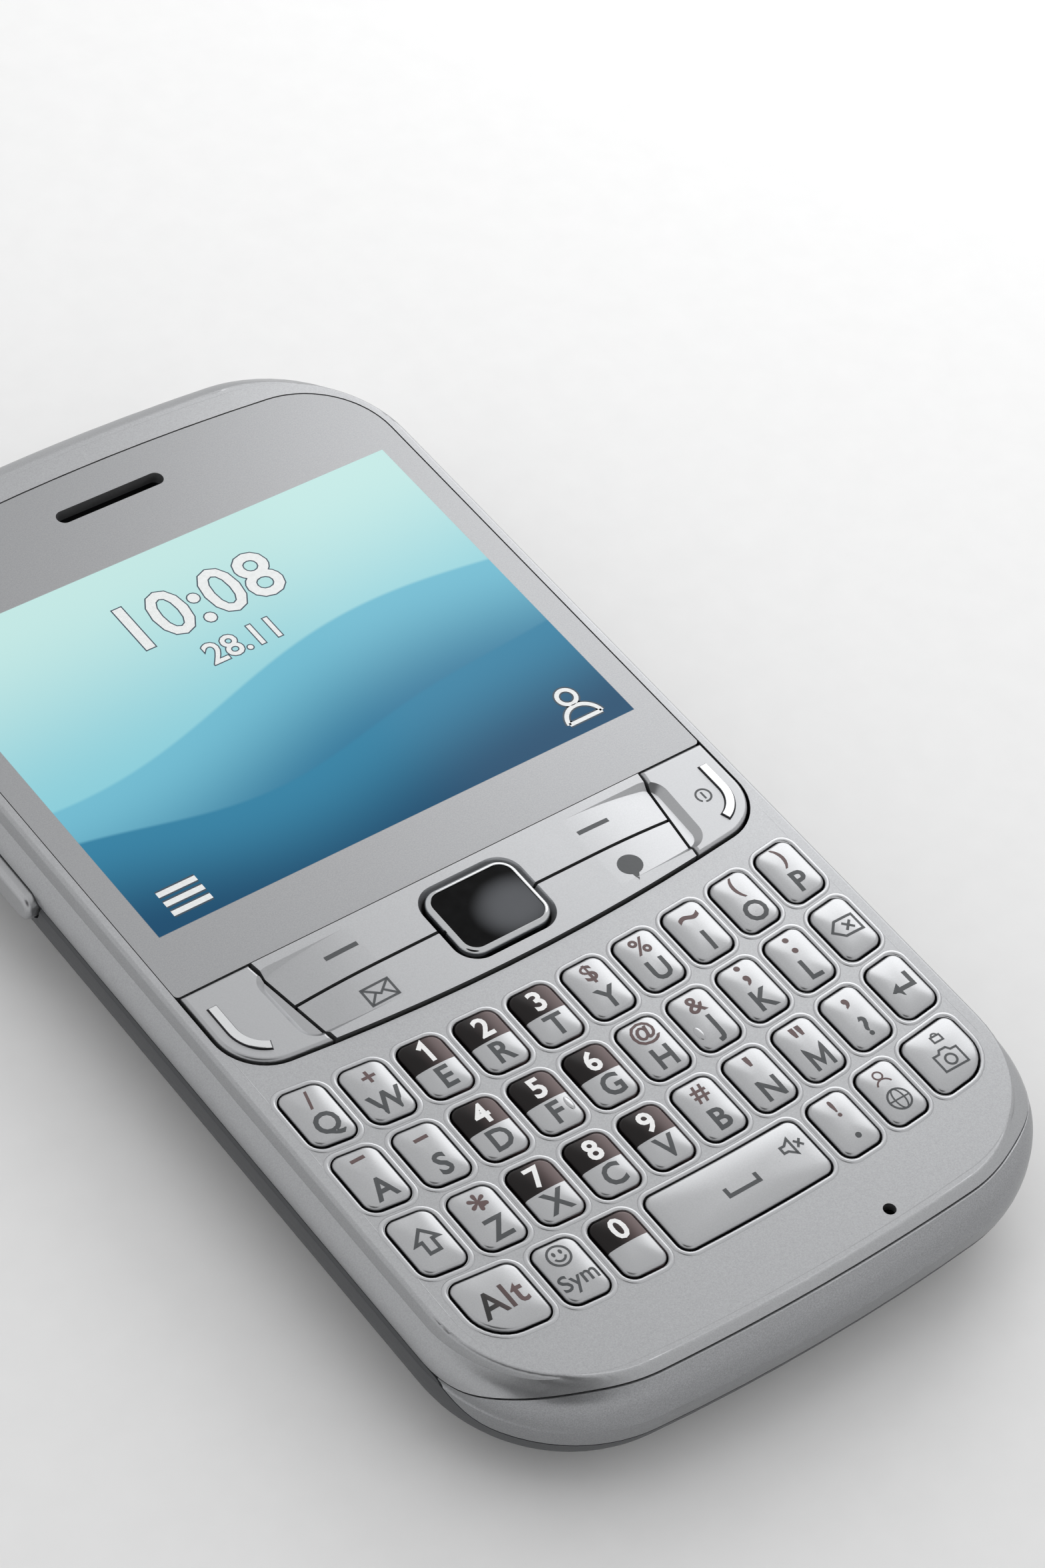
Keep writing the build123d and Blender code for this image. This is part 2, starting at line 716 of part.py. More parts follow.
# Rear housing: a bumper at each end, carried by the chassis plate with the battery bay under it
bumper_start = half_length - bumper_reach + bumper_tip
bumper_full = half_length - housing_wall - bumper_root
bay_width = battery_width + 2 * battery_gap
bay_length = battery_length + 2 * battery_gap
with BuildPart() as rear_housing:
    add(hull.part)
    add(parting_tool(seam_line(seam_height - seam_gap), -cut_height), mode=Mode.INTERSECT)
    add(parting_tool(cover_line(cover_edge + seam_gap), cut_height), mode=Mode.INTERSECT)
    add(hollow.part, mode=Mode.SUBTRACT)
    add(box_at(0, 0, 0, cut_height, 2 * cut_reach, 2 * bumper_start), mode=Mode.SUBTRACT)
    with BuildSketch(Plane.XY.offset(chassis_top)):
        with Locations(*boss_points):
            Circle(boss_radius + port_gap)
    extrude(amount=cut_height, mode=Mode.SUBTRACT)
    with BuildSketch(Plane.XY.offset(flange_top)):
        with Locations((mic_x, mic_y)):
            Circle(mic_hole_radius)
    extrude(amount=cut_height, mode=Mode.SUBTRACT)
    with BuildSketch(Plane.XY.offset(chassis_bottom)):
        add(even_outline(housing_wall + stack_gap))
    extrude(amount=chassis_thickness)
    with BuildSketch(Plane.XY.offset(chassis_bottom)):
        add(even_outline(housing_wall / 2))
        Rectangle(2 * cut_reach, 2 * bumper_full, mode=Mode.SUBTRACT)
    extrude(amount=chassis_thickness)
    with BuildSketch(Plane.XY.offset(chassis_bottom)):
        with Locations((0, battery_centre_y)):
            Rectangle(bay_width + 2 * bay_rib, bay_length + 2 * bay_rib)
            Rectangle(bay_width, bay_length, mode=Mode.SUBTRACT)
    extrude(amount=-bay_rib_depth)
    with Locations((0, 0, chassis_bottom)):
        with Locations(*boss_points):
            Hole(screw_radius + screw_fit, depth=cut_height)
    notch_depth = volume_flange_thickness + volume_seat_gap + volume_gap
    add(
        box_at(
            -wall_inside + notch_depth / 2,
            volume_centre_y,
            0,
            cut_height,
            notch_depth,
            volume_length + 4 * volume_flange + 2 * volume_gap,
        ),
        mode=Mode.SUBTRACT,
    )
    add(
        box_at(
            jack_x,
            jack_depth_y,
            0,
            jack_top + port_gap,
            jack_width + 2 * port_gap,
            jack_length + 2 * port_gap,
        ),
        mode=Mode.SUBTRACT,
    )
    with BuildSketch(Plane.XZ.offset(-half_length)):
        with Locations((jack_x, port_z)):
            Circle(jack_nose_radius + port_gap)
        with Locations((usb_x, port_z)):
            RectangleRounded(
                usb_width + 2 * port_gap, usb_height + 2 * port_gap, usb_corner + port_gap
            )
    extrude(amount=half_length - usb_mouth_y + usb_length + port_gap, mode=Mode.SUBTRACT)
rear_housing.part.label = "rear_housing"
export_step(rear_housing.part, "parts/rear_housing.step")

camera_x = 0
with BuildPart() as battery_cover:
    add(hull.part)
    add(parting_tool(cover_line(cover_edge), -cut_height), mode=Mode.INTERSECT)
    add(hollow.part, mode=Mode.SUBTRACT)
    add(volume_slot.part, mode=Mode.SUBTRACT)
    with BuildSketch():
        with Locations((camera_x, module_row_y)):
            Circle(camera_lens_radius + camera_hole_gap)
        with Locations((speaker_x, module_row_y)):
            with GridLocations(0, speaker_slot_pitch, 1, speaker_slot_count):
                SlotOverall(speaker_slot_length, speaker_slot_width)
    extrude(amount=2 * cover_wall, mode=Mode.SUBTRACT)
battery_cover.part.label = "battery_cover"
export_step(battery_cover.part, "parts/battery_cover.step")

with BuildPart() as battery:
    add(box_at(0, battery_centre_y, battery_bottom, battery_top, battery_width, battery_length))
    fillet(battery.edges().filter_by(Axis.Z), bay_rib)
    chamfer(battery.edges().group_by(Axis.Z)[0], battery_gap)
battery.part.label = "battery"
export_step(battery.part, "parts/battery.step")

with BuildPart() as lcd_module:
    add(
        box_at(
            0,
            screen_centre_y,
            board_top,
            lcd_top,
            screen_width + 2 * lcd_side_border,
            screen_height + 2 * lcd_end_border,
        )
    )
    with BuildSketch(Plane.XY.offset(lcd_top)):
        with Locations((0, screen_centre_y)):
            Rectangle(screen_width, screen_height)
    extrude(amount=-stack_gap / 2, mode=Mode.SUBTRACT)
lcd_module.part.label = "lcd_module"
export_step(lcd_module.part, "parts/lcd_module.step")

# Main board, with the microphone soldered on its lower end
with BuildPart() as main_board:
    with BuildSketch(Plane.XY.offset(chassis_top)):
        add(even_outline(board_inset))
        with Locations(*boss_points):
            Circle(boss_radius + board_notch_gap, mode=Mode.SUBTRACT)
        with Locations((jack_x, jack_depth_y)):
            Rectangle(
                jack_width + 2 * board_notch_gap, jack_length + 2 * board_notch_gap, mode=Mode.SUBTRACT
            )
        with Locations((usb_x, usb_depth_y)):
            Rectangle(usb_width + 2 * port_gap, usb_length + 2 * port_gap, mode=Mode.SUBTRACT)
    extrude(amount=board_thickness)
    with BuildSketch(Plane.XY.offset(board_top)):
        with Locations((mic_x, mic_y)):
            Circle(mic_body_radius)
    extrude(amount=mic_body_height)
main_board.part.label = "main_board"
export_step(main_board.part, "parts/main_board.step")

sheet_top = window_lower_edge - nav_gap
sheet_bottom = keypad_y - row_count / 2 * key_pitch_y + key_web / 2
with BuildPart() as keypad_dome_sheet:
    add(
        box_at(
            0,
            (sheet_top + sheet_bottom) / 2,
            board_top,
            board_top + dome_sheet_thickness,
            opening_width - 2 * key_web,
            sheet_top - sheet_bottom,
        )
    )
    with BuildSketch(Plane.XY.offset(board_top + dome_sheet_thickness)):
        with Locations(*key_centres, *nav_press_points):
            Circle(dome_radius)
    extrude(amount=dome_height, taper=45)
keypad_dome_sheet.part.label = "keypad_dome_sheet"
export_step(keypad_dome_sheet.part, "parts/keypad_dome_sheet.step")

with BuildPart() as earpiece:
    add(box_at(0, earpiece_y, board_top, board_top + earpiece_size[2], earpiece_size[0], earpiece_size[1]))
    fillet(earpiece.edges().filter_by(Axis.Z), earpiece_size[1] / 3)
earpiece.part.label = "earpiece"
export_step(earpiece.part, "parts/earpiece.step")

with BuildPart() as loudspeaker:
    add(
        box_at(
            speaker_x,
            module_row_y,
            chassis_bottom - speaker_size[2],
            chassis_bottom,
            speaker_size[0],
            speaker_size[1],
        )
    )
    fillet(loudspeaker.edges().filter_by(Axis.Z), speaker_size[1] / 6)
loudspeaker.part.label = "loudspeaker"
export_step(loudspeaker.part, "parts/loudspeaker.step")

with BuildPart() as camera_module:
    add(
        box_at(
            camera_x, module_row_y, battery_bottom + stack_gap, chassis_bottom, camera_size, camera_size
        )
    )
    with BuildSketch(Plane.XY.offset(camera_recess)):
        with Locations((camera_x, module_row_y)):
            Circle(camera_lens_radius)
    extrude(amount=chassis_bottom - camera_recess)
camera_module.part.label = "camera_module"
export_step(camera_module.part, "parts/camera_module.step")

with BuildPart() as vibration_motor:
    with BuildSketch(Plane.XY.offset(chassis_bottom)):
        with Locations((motor_x, module_row_y)):
            Circle(motor_radius)
    extrude(amount=-motor_thickness)
vibration_motor.part.label = "vibration_motor"
export_step(vibration_motor.part, "parts/vibration_motor.step")

with BuildPart() as sim_holder:
    add(box_at(0, sim_y, chassis_bottom - sim_size[2], chassis_bottom, sim_size[0], sim_size[1]))
    with BuildSketch(Plane.XZ.offset(-sim_y - sim_size[1] / 2)):
        with Locations((0, chassis_bottom - sim_size[2] / 2)):
            Rectangle(sim_size[0] - 2 * bay_rib, sim_size[2] / 2)
    extrude(amount=sim_size[1] - bay_rib, mode=Mode.SUBTRACT)
sim_holder.part.label = "sim_holder"
export_step(sim_holder.part, "parts/sim_holder.step")

with BuildPart() as headphone_jack:
    add(
        box_at(
            jack_x,
            jack_depth_y,
            jack_bottom,
            jack_top,
            jack_width,
            jack_length,
        )
    )
    with BuildSketch(Plane.XZ.offset(-jack_face_y)):
        with Locations((jack_x, port_z)):
            Circle(jack_nose_radius)
    extrude(amount=jack_face_y - jack_mouth_y)
    with BuildSketch(Plane.XZ.offset(-jack_mouth_y)):
        with Locations((jack_x, port_z)):
            Circle(jack_bore_radius)
    extrude(amount=jack_mouth_y - jack_face_y + jack_length - jack_wall, mode=Mode.SUBTRACT)
headphone_jack.part.label = "headphone_jack"
export_step(headphone_jack.part, "parts/headphone_jack.step")

with BuildPart() as usb_connector:
    with BuildSketch(Plane.XZ.offset(-usb_mouth_y)):
        with Locations((usb_x, port_z)):
            RectangleRounded(usb_width, usb_height, usb_corner)
    extrude(amount=usb_length)
    with BuildSketch(Plane.XZ.offset(-usb_mouth_y)):
        with Locations((usb_x, port_z)):
            RectangleRounded(usb_width - 2 * usb_wall, usb_height - 2 * usb_wall, usb_corner - usb_wall)
    extrude(amount=usb_length - usb_wall, mode=Mode.SUBTRACT)
    with BuildSketch(Plane.XZ.offset(usb_wall - usb_mouth_y)):
        with Locations((usb_x, port_z)):
            Rectangle(usb_width / 2, usb_tongue)
    extrude(amount=usb_length - usb_wall)
usb_connector.part.label = "usb_connector"
export_step(usb_connector.part, "parts/usb_connector.step")

with BuildPart() as housing_screws:
    with BuildSketch(Plane.XY.offset(chassis_bottom - screw_head_thickness)):
        with Locations(*boss_points):
            Circle(screw_head_radius)
    extrude(amount=screw_head_thickness)
    with BuildSketch(Plane.XY.offset(chassis_bottom)):
        with Locations(*boss_points):
            Circle(screw_radius)
    extrude(amount=chassis_thickness + screw_length - stack_gap)
housing_screws.part.label = "housing_screws"
export_step(housing_screws.part, "parts/housing_screws.step")
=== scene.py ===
"""Dresses the bar phone: painted shells, pillow key caps with their marks, the lit screen and the stage."""

import functools
import math

import bmesh
import bpy
import numpy as np
from mathutils import Matrix, Vector


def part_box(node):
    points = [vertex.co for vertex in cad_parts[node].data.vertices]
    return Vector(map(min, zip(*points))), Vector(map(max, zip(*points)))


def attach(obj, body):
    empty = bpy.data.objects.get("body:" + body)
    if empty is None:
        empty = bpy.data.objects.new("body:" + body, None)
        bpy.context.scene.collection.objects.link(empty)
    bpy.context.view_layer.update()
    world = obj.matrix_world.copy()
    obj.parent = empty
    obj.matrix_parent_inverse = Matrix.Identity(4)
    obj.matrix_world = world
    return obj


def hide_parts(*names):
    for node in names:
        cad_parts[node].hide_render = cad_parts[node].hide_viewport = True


bl_info = {
    "name": "Bar phone",
    "version": (1, 0, 0),
    "blender": (4, 5, 0),
    "location": "View3D > Sidebar > Phone",
    "description": "Finishes a bar phone with a letter keyboard",
    "category": "Object",
}

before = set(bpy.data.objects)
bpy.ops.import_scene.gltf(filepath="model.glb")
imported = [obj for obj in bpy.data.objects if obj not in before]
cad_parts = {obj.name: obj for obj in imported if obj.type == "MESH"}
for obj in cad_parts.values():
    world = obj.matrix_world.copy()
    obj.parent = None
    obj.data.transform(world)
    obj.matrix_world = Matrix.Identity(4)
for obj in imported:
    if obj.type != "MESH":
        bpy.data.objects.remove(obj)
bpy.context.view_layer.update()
MM = 0.001

# Places of the CAD model in millimetres
FRONT_Z = 11.4
STRIP_Z = 11.7
WINDOW_Z = 11.35
KEY_Z = 11.85
BOW_RADIUS = 198.0
KEYPAD_Y = -31.9
KEY_PITCH = (5.35, 7.15)
KEY_WEB = 1.0
KEY_GAP = 0.2
KEY_CORNER = 1.15
OUTER_CORNER = 3.0
OUTER_WIDTH = 6.2
SPACE_PITCH = 16.6
BOTTOM_PITCH = 5.3
SCREEN_HALF = 24.4
SCREEN_LOW = 1.6
SCREEN_HIGH = 38.2
RECESS_INNER = 11.0
RECESS_OUTER = 20.9
RECESS_DEPTH = 0.7
RECESS_LOW = -13.6
RECESS_HIGH = -5.5
LENS_PLACE = (0.0, 37.5)

# Painted shade: black where the paint gives way to it, on the walls of the front's openings and of the
# keys, and inside the shell
KEYS_MIDDLE = -31.2
KEYS_HALF = (22.4, 11.0)
KEYS_ROUND = 3.6
OPENINGS = ((27.2, 12.0, 29.0), (20.0, 45.0, 5.4))      # half width, middle and half length
HOLE_SHADE_DEPTH = 0.15
INSIDE_HALF = (15.2, 40.4)
INSIDE_ROUND = 11.2
CAP_SHADE_TOP = (-0.02, 0.12)       # the black painted shade on the walls of the caps gives way to their paint between these heights over the front
# the same for the black painted shade on the walls of the strip's keys
STRIP_SHADE_TOP = (-0.75, -0.6)
PAINTED_SHADE_BLACK = (0.008, 0.008, 0.009)

# Metallic paint
FLAKE_SCALE = 9000.0
FLAKE_SPREAD = 1.6
FLAKE_RELIEF = 0.004 * MM
FLAKE_STRENGTH = 0.35

# Key caps, nubs and rims in millimetres
CAP_SQUARE = 5                  # power of the rounded-square distance from the middle of a cap
CAP_FALL = 2.6                  # power with which a cap falls towards its edge
CAP_BASE = 1.3                  # the new cap starts this far above the foot of the CAD key
CAP_RINGS = 8
CAP_BEND_STEPS = 5
NUB_HALF = (0.32, 0.7)
NUB_RISE = 0.1
NUB_OFFSET = (1.4, -1.1)
NUB_STEPS = 24
NUB_RINGS = 6
RIM_STEPS = 9
RIM_SINK = 0.004
RIM_LINING = 0.02
RIM_LINING_DEPTHS = (0.03, 0.5)

# Printed marks: ink numbers, and places in millimetres about the middle of a key
LETTER_INK, SIGN_INK, DIGIT_INK, FADING_INK = range(4)
CAPITAL_SHARE = 0.72            # height of a capital as a share of the type's size
LETTER_PLACE = (0.1, -1.3)
SIGN_PLACE = (0.1, 1.4)
QUOTE_PLACE = (0.1, 1.75)
QUESTION_PLACE = (0.1, -1.2)
PERIOD_PLACE = (0.1, -1.6)
LETTER_BOLD = 0.024
SIGN_BOLD = 0.018
SMALL_SIGNS = "'\",;:-~*"
SMALL_SIGN_SCALE = 1.5
ALT_HEIGHT = 2.3
ALT_SPACING = 1.06

# Navigation strip and trackpad: heights over the strip, and places in millimetres
STRIP_LIGHT = 1.06              # the strip is this much lighter than the front
# heights of the painted shadow line at the foot of the ridge
RIDGE_FOOT_SHADOW = (0.004, 0.02)
RIDGE_TOP = (0.14, 0.18)
# Painted highlight on the trackpad: its middle, its half size and where it fades
HIGHLIGHT_MIDDLE = (2.1, -10.9)
HIGHLIGHT_HALF = (3.9, 3.2)
HIGHLIGHT_FADE = 1.25               # square of the elliptic distance at which the painted highlight ends
DASH_ENDS = (11.3, 14.5)
DASH_Y = -7.3
ENVELOPE_PLACE = (-12.7, -12.35)
BUBBLE_OFFSET = (25.7, 0)
POWER_PLACE = (23.1, -9.4)

# Screen picture: two colours of the sky; then for each hill, far one first, the level of its edge, the
# edge's waves as rate, start and height, the reach of its shading, and its two colours
SKY = ((0.27, 0.66, 0.76), (0.60, 0.88, 0.85))
HILLS = (
    (0.52, ((0.11, 0.6, 0.05), (0.047, 0.0, 0.06)), 0.35, (0.18, 0.54, 0.69), (0.03, 0.2, 0.35)),
    (0.30, ((0.085, -1.1, 0.06), (0.19, 0.0, 0.015)), 0.3, (0.035, 0.24, 0.4), (0.006, 0.075, 0.165)),
)
HILL_BLUR = 0.006
SCREEN_BLUR = 0.04
SCREEN_FACE = (-0.1, -0.05)     # the screen is lit from between these heights over the window
SCREEN_GLOW = 0.9
MENU_INSET = (4.2, 2.6)
PERSON_INSET = (4.2, 2.9)
CLOCK_Y = 31.0
DATE_Y = 25.2

# Lens on the back in millimetres
LENS_RING = ((2.95, 0.30), (2.9, 0.22), (2.75, 0.2), (2.1, 0.24), (1.95, 0.34), (1.9, 0.345))
LENS_RADIUS = 1.9
LENS_DEPTH = 0.33
LENS_BULGE = 0.1
LENS_STEPS = 64
LENS_RINGS = 10
LENS_EDGE = 0.02                # angle at which the dome of the lens starts

# Stage in millimetres
FLOOR_HALF = 3000.0
FLOOR_DROP = 0.02
WORLD_STRENGTH = 0.93
LAMP_PLACE = (200.0, 130.0, 140.0)
LAMP_TARGET = (20.0, 10.0, 0.0)
LAMP_SIZE = 200.0
LAMP_POWER = 0.19
FLAG_RADIUS = 190.0
FLAG_BEYOND = 1.1               # the flag stands this many times as far away as the camera
CAMERA_PLACE = (-165.571, -175.257, 280.479)
CAMERA_RIGHT = (0.788792, -0.601583, 0.126113)
CAMERA_UP = (0.381743, 0.640276, 0.666572)
CAMERA_BACK = (-0.481746, -0.477644, 0.734695)
CAMERA_LENS = 151.22
CAMERA_SENSOR = 36.0
CAMERA_CLIP = 10.0

DIGITS = {
    "e": "1", "r": "2", "t": "3", "d": "4", "f": "5", "g": "6", "x": "7", "c": "8", "v": "9", "zero": "0",
}
SYMBOLS = {
    "q": "/", "w": "+", "y": "$", "u": "%", "i": "~", "o": "(", "p": ")", "h": "@", "j": "&",
    "k": ";", "l": ":", "z": "*", "b": "#", "n": "'", "m": '"', "question": ",", "period": "!",
}
BARS = {"a": 1.9, "s": 1.5}     # height of the short bar above the middle of its key


def length(name, description, default):
    """A length that a user may change, its default in millimetres."""
    return bpy.props.FloatProperty(name=name, description=description, default=default * MM, unit="LENGTH")


def tint(name, description, default):
    """A colour that a user may change."""
    return bpy.props.FloatVectorProperty(
        name=name, description=description, default=default, subtype="COLOR")


class PhoneSizes(bpy.types.PropertyGroup):
    """Sizes of the dressed pieces that a user would change."""

    cap_drop: length("Cap drop", "How far a key cap falls from its middle to its edge", 0.19)
    cap_round: length("Cap round", "Radius of the edge of a key cap", 0.3)
    rim_width: length("Rim width", "Width of the raised rim round a key hole", 0.42)
    rim_height: length("Rim height", "Height of the raised rim round a key hole", 0.08)
    letter_height: length("Letter height", "Height of the capital letters", 2.05)
    symbol_height: length("Symbol height", "Height of the signs above the letters", 1.75)
    mark_lift: length("Mark lift", "Printed marks lie this far above their surface", 0.012)


class PhoneColours(bpy.types.PropertyGroup):
    """Colours of the finishes."""

    silver: tint("Silver", "Metallic paint of the front", (0.36, 0.365, 0.375))
    bumper: tint("Bumper", "Metallic paint of the two ends", (0.3, 0.305, 0.315))
    key: tint("Key", "Metallic paint of the key caps", (0.4, 0.405, 0.415))
    cover: tint("Cover", "Soft-touch battery cover", (0.055, 0.058, 0.062))
    letter: tint("Letter", "Ink of the letters", (0.055, 0.06, 0.065))
    sign: tint("Sign", "Ink of the signs", (0.1, 0.055, 0.055))
    digit: tint("Digit", "Ink of the digits", (0.9, 0.9, 0.9))


class Value:
    """A number that varies over a surface; the operators add the Math nodes."""

    def __init__(self, finish, socket):
        self.finish = finish
        self.socket = socket

    def math(self, operation, *others):
        """A Math node with this value first."""
        node = self.finish.node("ShaderNodeMath", {"operation": operation}, {0: self})
        for place, other in enumerate(others, 1):
            self.finish.plug(node.inputs[place], other)
        return Value(self.finish, node.outputs[0])

    def flipped(self, operation, other):
        """A Math node with this value second."""
        node = self.finish.node("ShaderNodeMath", {"operation": operation}, {0: other, 1: self})
        return Value(self.finish, node.outputs[0])

    def __add__(self, other):
        return self.math("ADD", other)

    __radd__ = __add__

    def __sub__(self, other):
        return self.math("SUBTRACT", other)

    def __rsub__(self, other):
        return self.flipped("SUBTRACT", other)

    def __mul__(self, other):
        return self.math("MULTIPLY", other)

    __rmul__ = __mul__

    def __truediv__(self, other):
        return self.math("DIVIDE", other)

    def __rtruediv__(self, other):
        return self.flipped("DIVIDE", other)

    def __lt__(self, other):
        return self.math("LESS_THAN", other)

    def __abs__(self):
        return self.math("ABSOLUTE")

    def sine(self):
        return self.math("SINE")

    def smooth(self, low, high):
        """Rises smoothly from 0 at low to 1 at high."""
        node = self.finish.node(
            "ShaderNodeMapRange", {"interpolation_type": "SMOOTHSTEP"},
            {"Value": self, "From Min": low, "From Max": high})
        return Value(self.finish, node.outputs["Result"])


class Finish:
    """A material being built; node() adds any node and links or sets its sockets."""

    def __init__(self, name):
        self.material = bpy.data.materials.new(name)
        self.material.use_nodes = True
        self.tree = self.material.node_tree
        self.tree.nodes.clear()
        self.shader = self.node("ShaderNodeBsdfPrincipled")
        self.node("ShaderNodeOutputMaterial", inputs={"Surface": self.shader.outputs[0]})

    def plug(self, socket, value):
        """Links a value or a socket to an input, or sets a number or colour on it."""
        if isinstance(value, Value):
            self.tree.links.new(value.socket, socket)
        elif isinstance(value, bpy.types.NodeSocket):
            self.tree.links.new(value, socket)
        elif socket.type == "RGBA" and len(value) == 3:
            socket.default_value = (*value, 1.0)
        else:
            socket.default_value = value

    def node(self, kind, settings=None, inputs=None):
        """A new node of a kind, with its settings and then its inputs."""
        node = self.tree.nodes.new(kind)
        for name, setting in (settings or {}).items():
            setattr(node, name, setting)
        for name, value in (inputs or {}).items():
            self.plug(node.inputs[name], value)
        return node

    def coordinates(self, kind="Object"):
        """Object coordinates, or the piece's own UV map, as a vector socket."""
        return self.node("ShaderNodeTexCoord").outputs[kind]

    def axes(self, kind="Object", scale=1.0 / MM):
        """The three parts of the object coordinates in millimetres, or of the piece's own UV map."""
        split = self.node("ShaderNodeSeparateXYZ", inputs={0: self.coordinates(kind)})
        return tuple(Value(self, out) * scale for out in split.outputs)

    def noise(self, scale, detail=2.0, roughness=0.5):
        """Noise from 0 to 1 with scale features to the metre."""
        node = self.node(
            "ShaderNodeTexNoise", {},
            {"Vector": self.coordinates(), "Scale": scale, "Detail": detail, "Roughness": roughness})
        return Value(self, node.outputs["Fac"])

    def flakes(self):
        """Fine noise of the flakes in metallic paint."""
        return self.noise(FLAKE_SCALE, 2.0, 0.7)

    def mix(self, part, first, second):
        """Colour between two others."""
        node = self.node("ShaderNodeMix", {"data_type": "RGBA"}, {0: part})
        self.plug(node.inputs[6], first)
        self.plug(node.inputs[7], second)
        return node.outputs[2]

    def bump(self, height, distance, strength):
        """Normal of a relief of the given depth."""
        node = self.node(
            "ShaderNodeBump", {}, {"Height": height, "Distance": distance, "Strength": strength})
        return node.outputs[0]

    def set(self, **inputs):
        """Sets the shader's own sockets, with _ for the spaces in their names, and gives the material."""
        for name, value in inputs.items():
            self.plug(self.shader.inputs[name.replace("_", " ")], value)
        return self.material


def scaled(colour, factor):
    """A colour made lighter or darker."""
    return tuple(min(1.0, part * factor) for part in colour)


def metallic_paint(name, colour, grain=0.1, rough=0.36, metal=0.85, painted_shade=None):
    """Silver paint with fine flakes and a faint relief; the last argument gives where black painted shade
    takes its place, without metal.
    """
    paint = Finish(name)
    flakes = paint.flakes()
    cloud = paint.noise(160.0, 2.0)
    spread = FLAKE_SPREAD * grain
    shade = paint.mix(
        (flakes - 0.5) * FLAKE_SPREAD + 0.5, scaled(colour, 1 - spread), scaled(colour, 1 + spread))
    if painted_shade:
        # Black painted shade where the mask is 1, without metal there
        plastic = painted_shade(*paint.axes())
        shade = paint.mix(plastic, shade, PAINTED_SHADE_BLACK)
        metal = metal - plastic * metal
    return paint.set(
        Base_Color=shade, Metallic=metal, Roughness=rough - 0.05 + cloud * 0.06 + flakes * 0.05,
        Normal=paint.bump(flakes, FLAKE_RELIEF, FLAKE_STRENGTH))


def corner_distance(x, y, half_x, half_y):
    """Distance outside a rectangle about the origin; a limit on it gives a round-cornered outline."""
    across = (abs(x) - half_x).math("MAXIMUM", 0.0)
    along = (abs(y) - half_y).math("MAXIMUM", 0.0)
    return (across * across + along * along).math("SQRT")


def hole_wall_shade(x, y, z):
    """1 inside the openings of the front below its face, where black painted shade goes: a box each for
    keys, window and top.
    """
    inside = corner_distance(x, y - KEYS_MIDDLE, *KEYS_HALF) < KEYS_ROUND
    for half_x, middle, half_y in OPENINGS:
        inside = inside.math("MAXIMUM", (abs(x) < half_x) * (abs(y - middle) < half_y))
    return inside * (z < FRONT_Z - HOLE_SHADE_DEPTH)


def inner_face_shade(x, y, z):
    """1 inside the shell, where black painted shade goes: within a round-cornered outline that lies a
    wall's thickness inside the body.
    """
    return corner_distance(x, y, *INSIDE_HALF) < INSIDE_ROUND


def cap_wall_shade(x, y, z):
    """1 on the walls of a key cap below its rounded edge, where black painted shade goes."""
    return 1 - (z - FRONT_Z).smooth(*CAP_SHADE_TOP)


def strip_wall_shade(x, y, z):
    """1 on the walls of the strip's keys below the face of the front, where black painted shade goes."""
    return 1 - (z - FRONT_Z).smooth(*STRIP_SHADE_TOP)


def soft_plastic(name, colour, rough, scale=5000.0, relief=0.01, coat=0.0):
    """Moulded plastic with a fine spark-eroded texture."""
    plastic = Finish(name)
    grain = plastic.noise(scale, 3.0, 0.6)
    wear = plastic.noise(60.0, 3.0)
    shade = plastic.mix(grain * 0.6 + wear * 0.4, scaled(colour, 0.82), scaled(colour, 1.2))
    return plastic.set(
        Base_Color=shade, Roughness=rough - 0.06 + grain * 0.12, Coat_Weight=coat, Coat_Roughness=0.1,
        Normal=plastic.bump(grain, relief * MM, 0.5))


def grained(name, scale, detail, first, second, rough, vary=0.0, **others):
    """A finish between two colours by a fine grain, which varies its roughness too."""
    finish = Finish(name)
    grain = finish.noise(scale, detail)
    roughness = rough + grain * vary if vary else rough
    return finish.set(Base_Color=finish.mix(grain, first, second), Roughness=roughness, **others)


def bright_metal(name, colour, rough, scale=1500.0):
    """Plated or plain metal with faint polishing marks."""
    return grained(
        name, scale, 3.0, scaled(colour, 0.94), scaled(colour, 1.04), rough - 0.03, 0.06, Metallic=1.0)


def ink(name, colour):
    """Printed ink with a slightly uneven tone."""
    return grained(name, 3000.0, 2.0, scaled(colour, 0.88), scaled(colour, 1.1), 0.41, 0.08)


def face_corners(mesh):
    """The point at each corner of each face, one face after another."""
    corners = np.empty(len(mesh.loops), dtype=np.int32)
    mesh.loops.foreach_get("vertex_index", corners)
    return corners


def placed(name, data):
    """A new object in the scene that holds some data."""
    holder = bpy.data.objects.new(name, data)
    bpy.context.scene.collection.objects.link(holder)
    return holder


def new_piece(name, points, faces, materials, body, smooth=True, uv=None, numbers=None):
    """Puts points in millimetres and faces into a mesh that rides on a body, or on the stage if None.

    uv gives each point's place in the UV map, and numbers each face's material."""
    mesh = bpy.data.meshes.new(name)
    mesh.from_pydata((np.asarray(points) * MM).tolist(), [], [list(map(int, face)) for face in faces])
    mesh.polygons.foreach_set("use_smooth", [smooth] * len(mesh.polygons))
    for material in materials:
        mesh.materials.append(material)
    if uv is not None:
        layer = mesh.uv_layers.new(name="UVMap")
        layer.data.foreach_set("uv", np.asarray(uv)[face_corners(mesh)].astype(np.float32).ravel())
    if numbers is not None:
        mesh.polygons.foreach_set("material_index", numbers)
    mesh.update()
    piece = placed(name, mesh)
    if body:
        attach(piece, body)
    return piece


def dress(material, *nodes):
    """Gives CAD nodes their finish."""
    for node in nodes:
        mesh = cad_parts[node].data
        mesh.materials.clear()
        mesh.materials.append(material)


def bow(x):
    """Rise of a bowed row at x: a circle's depth below its tangent."""
    return BOW_RADIUS - np.sqrt(BOW_RADIUS**2 - np.square(x))


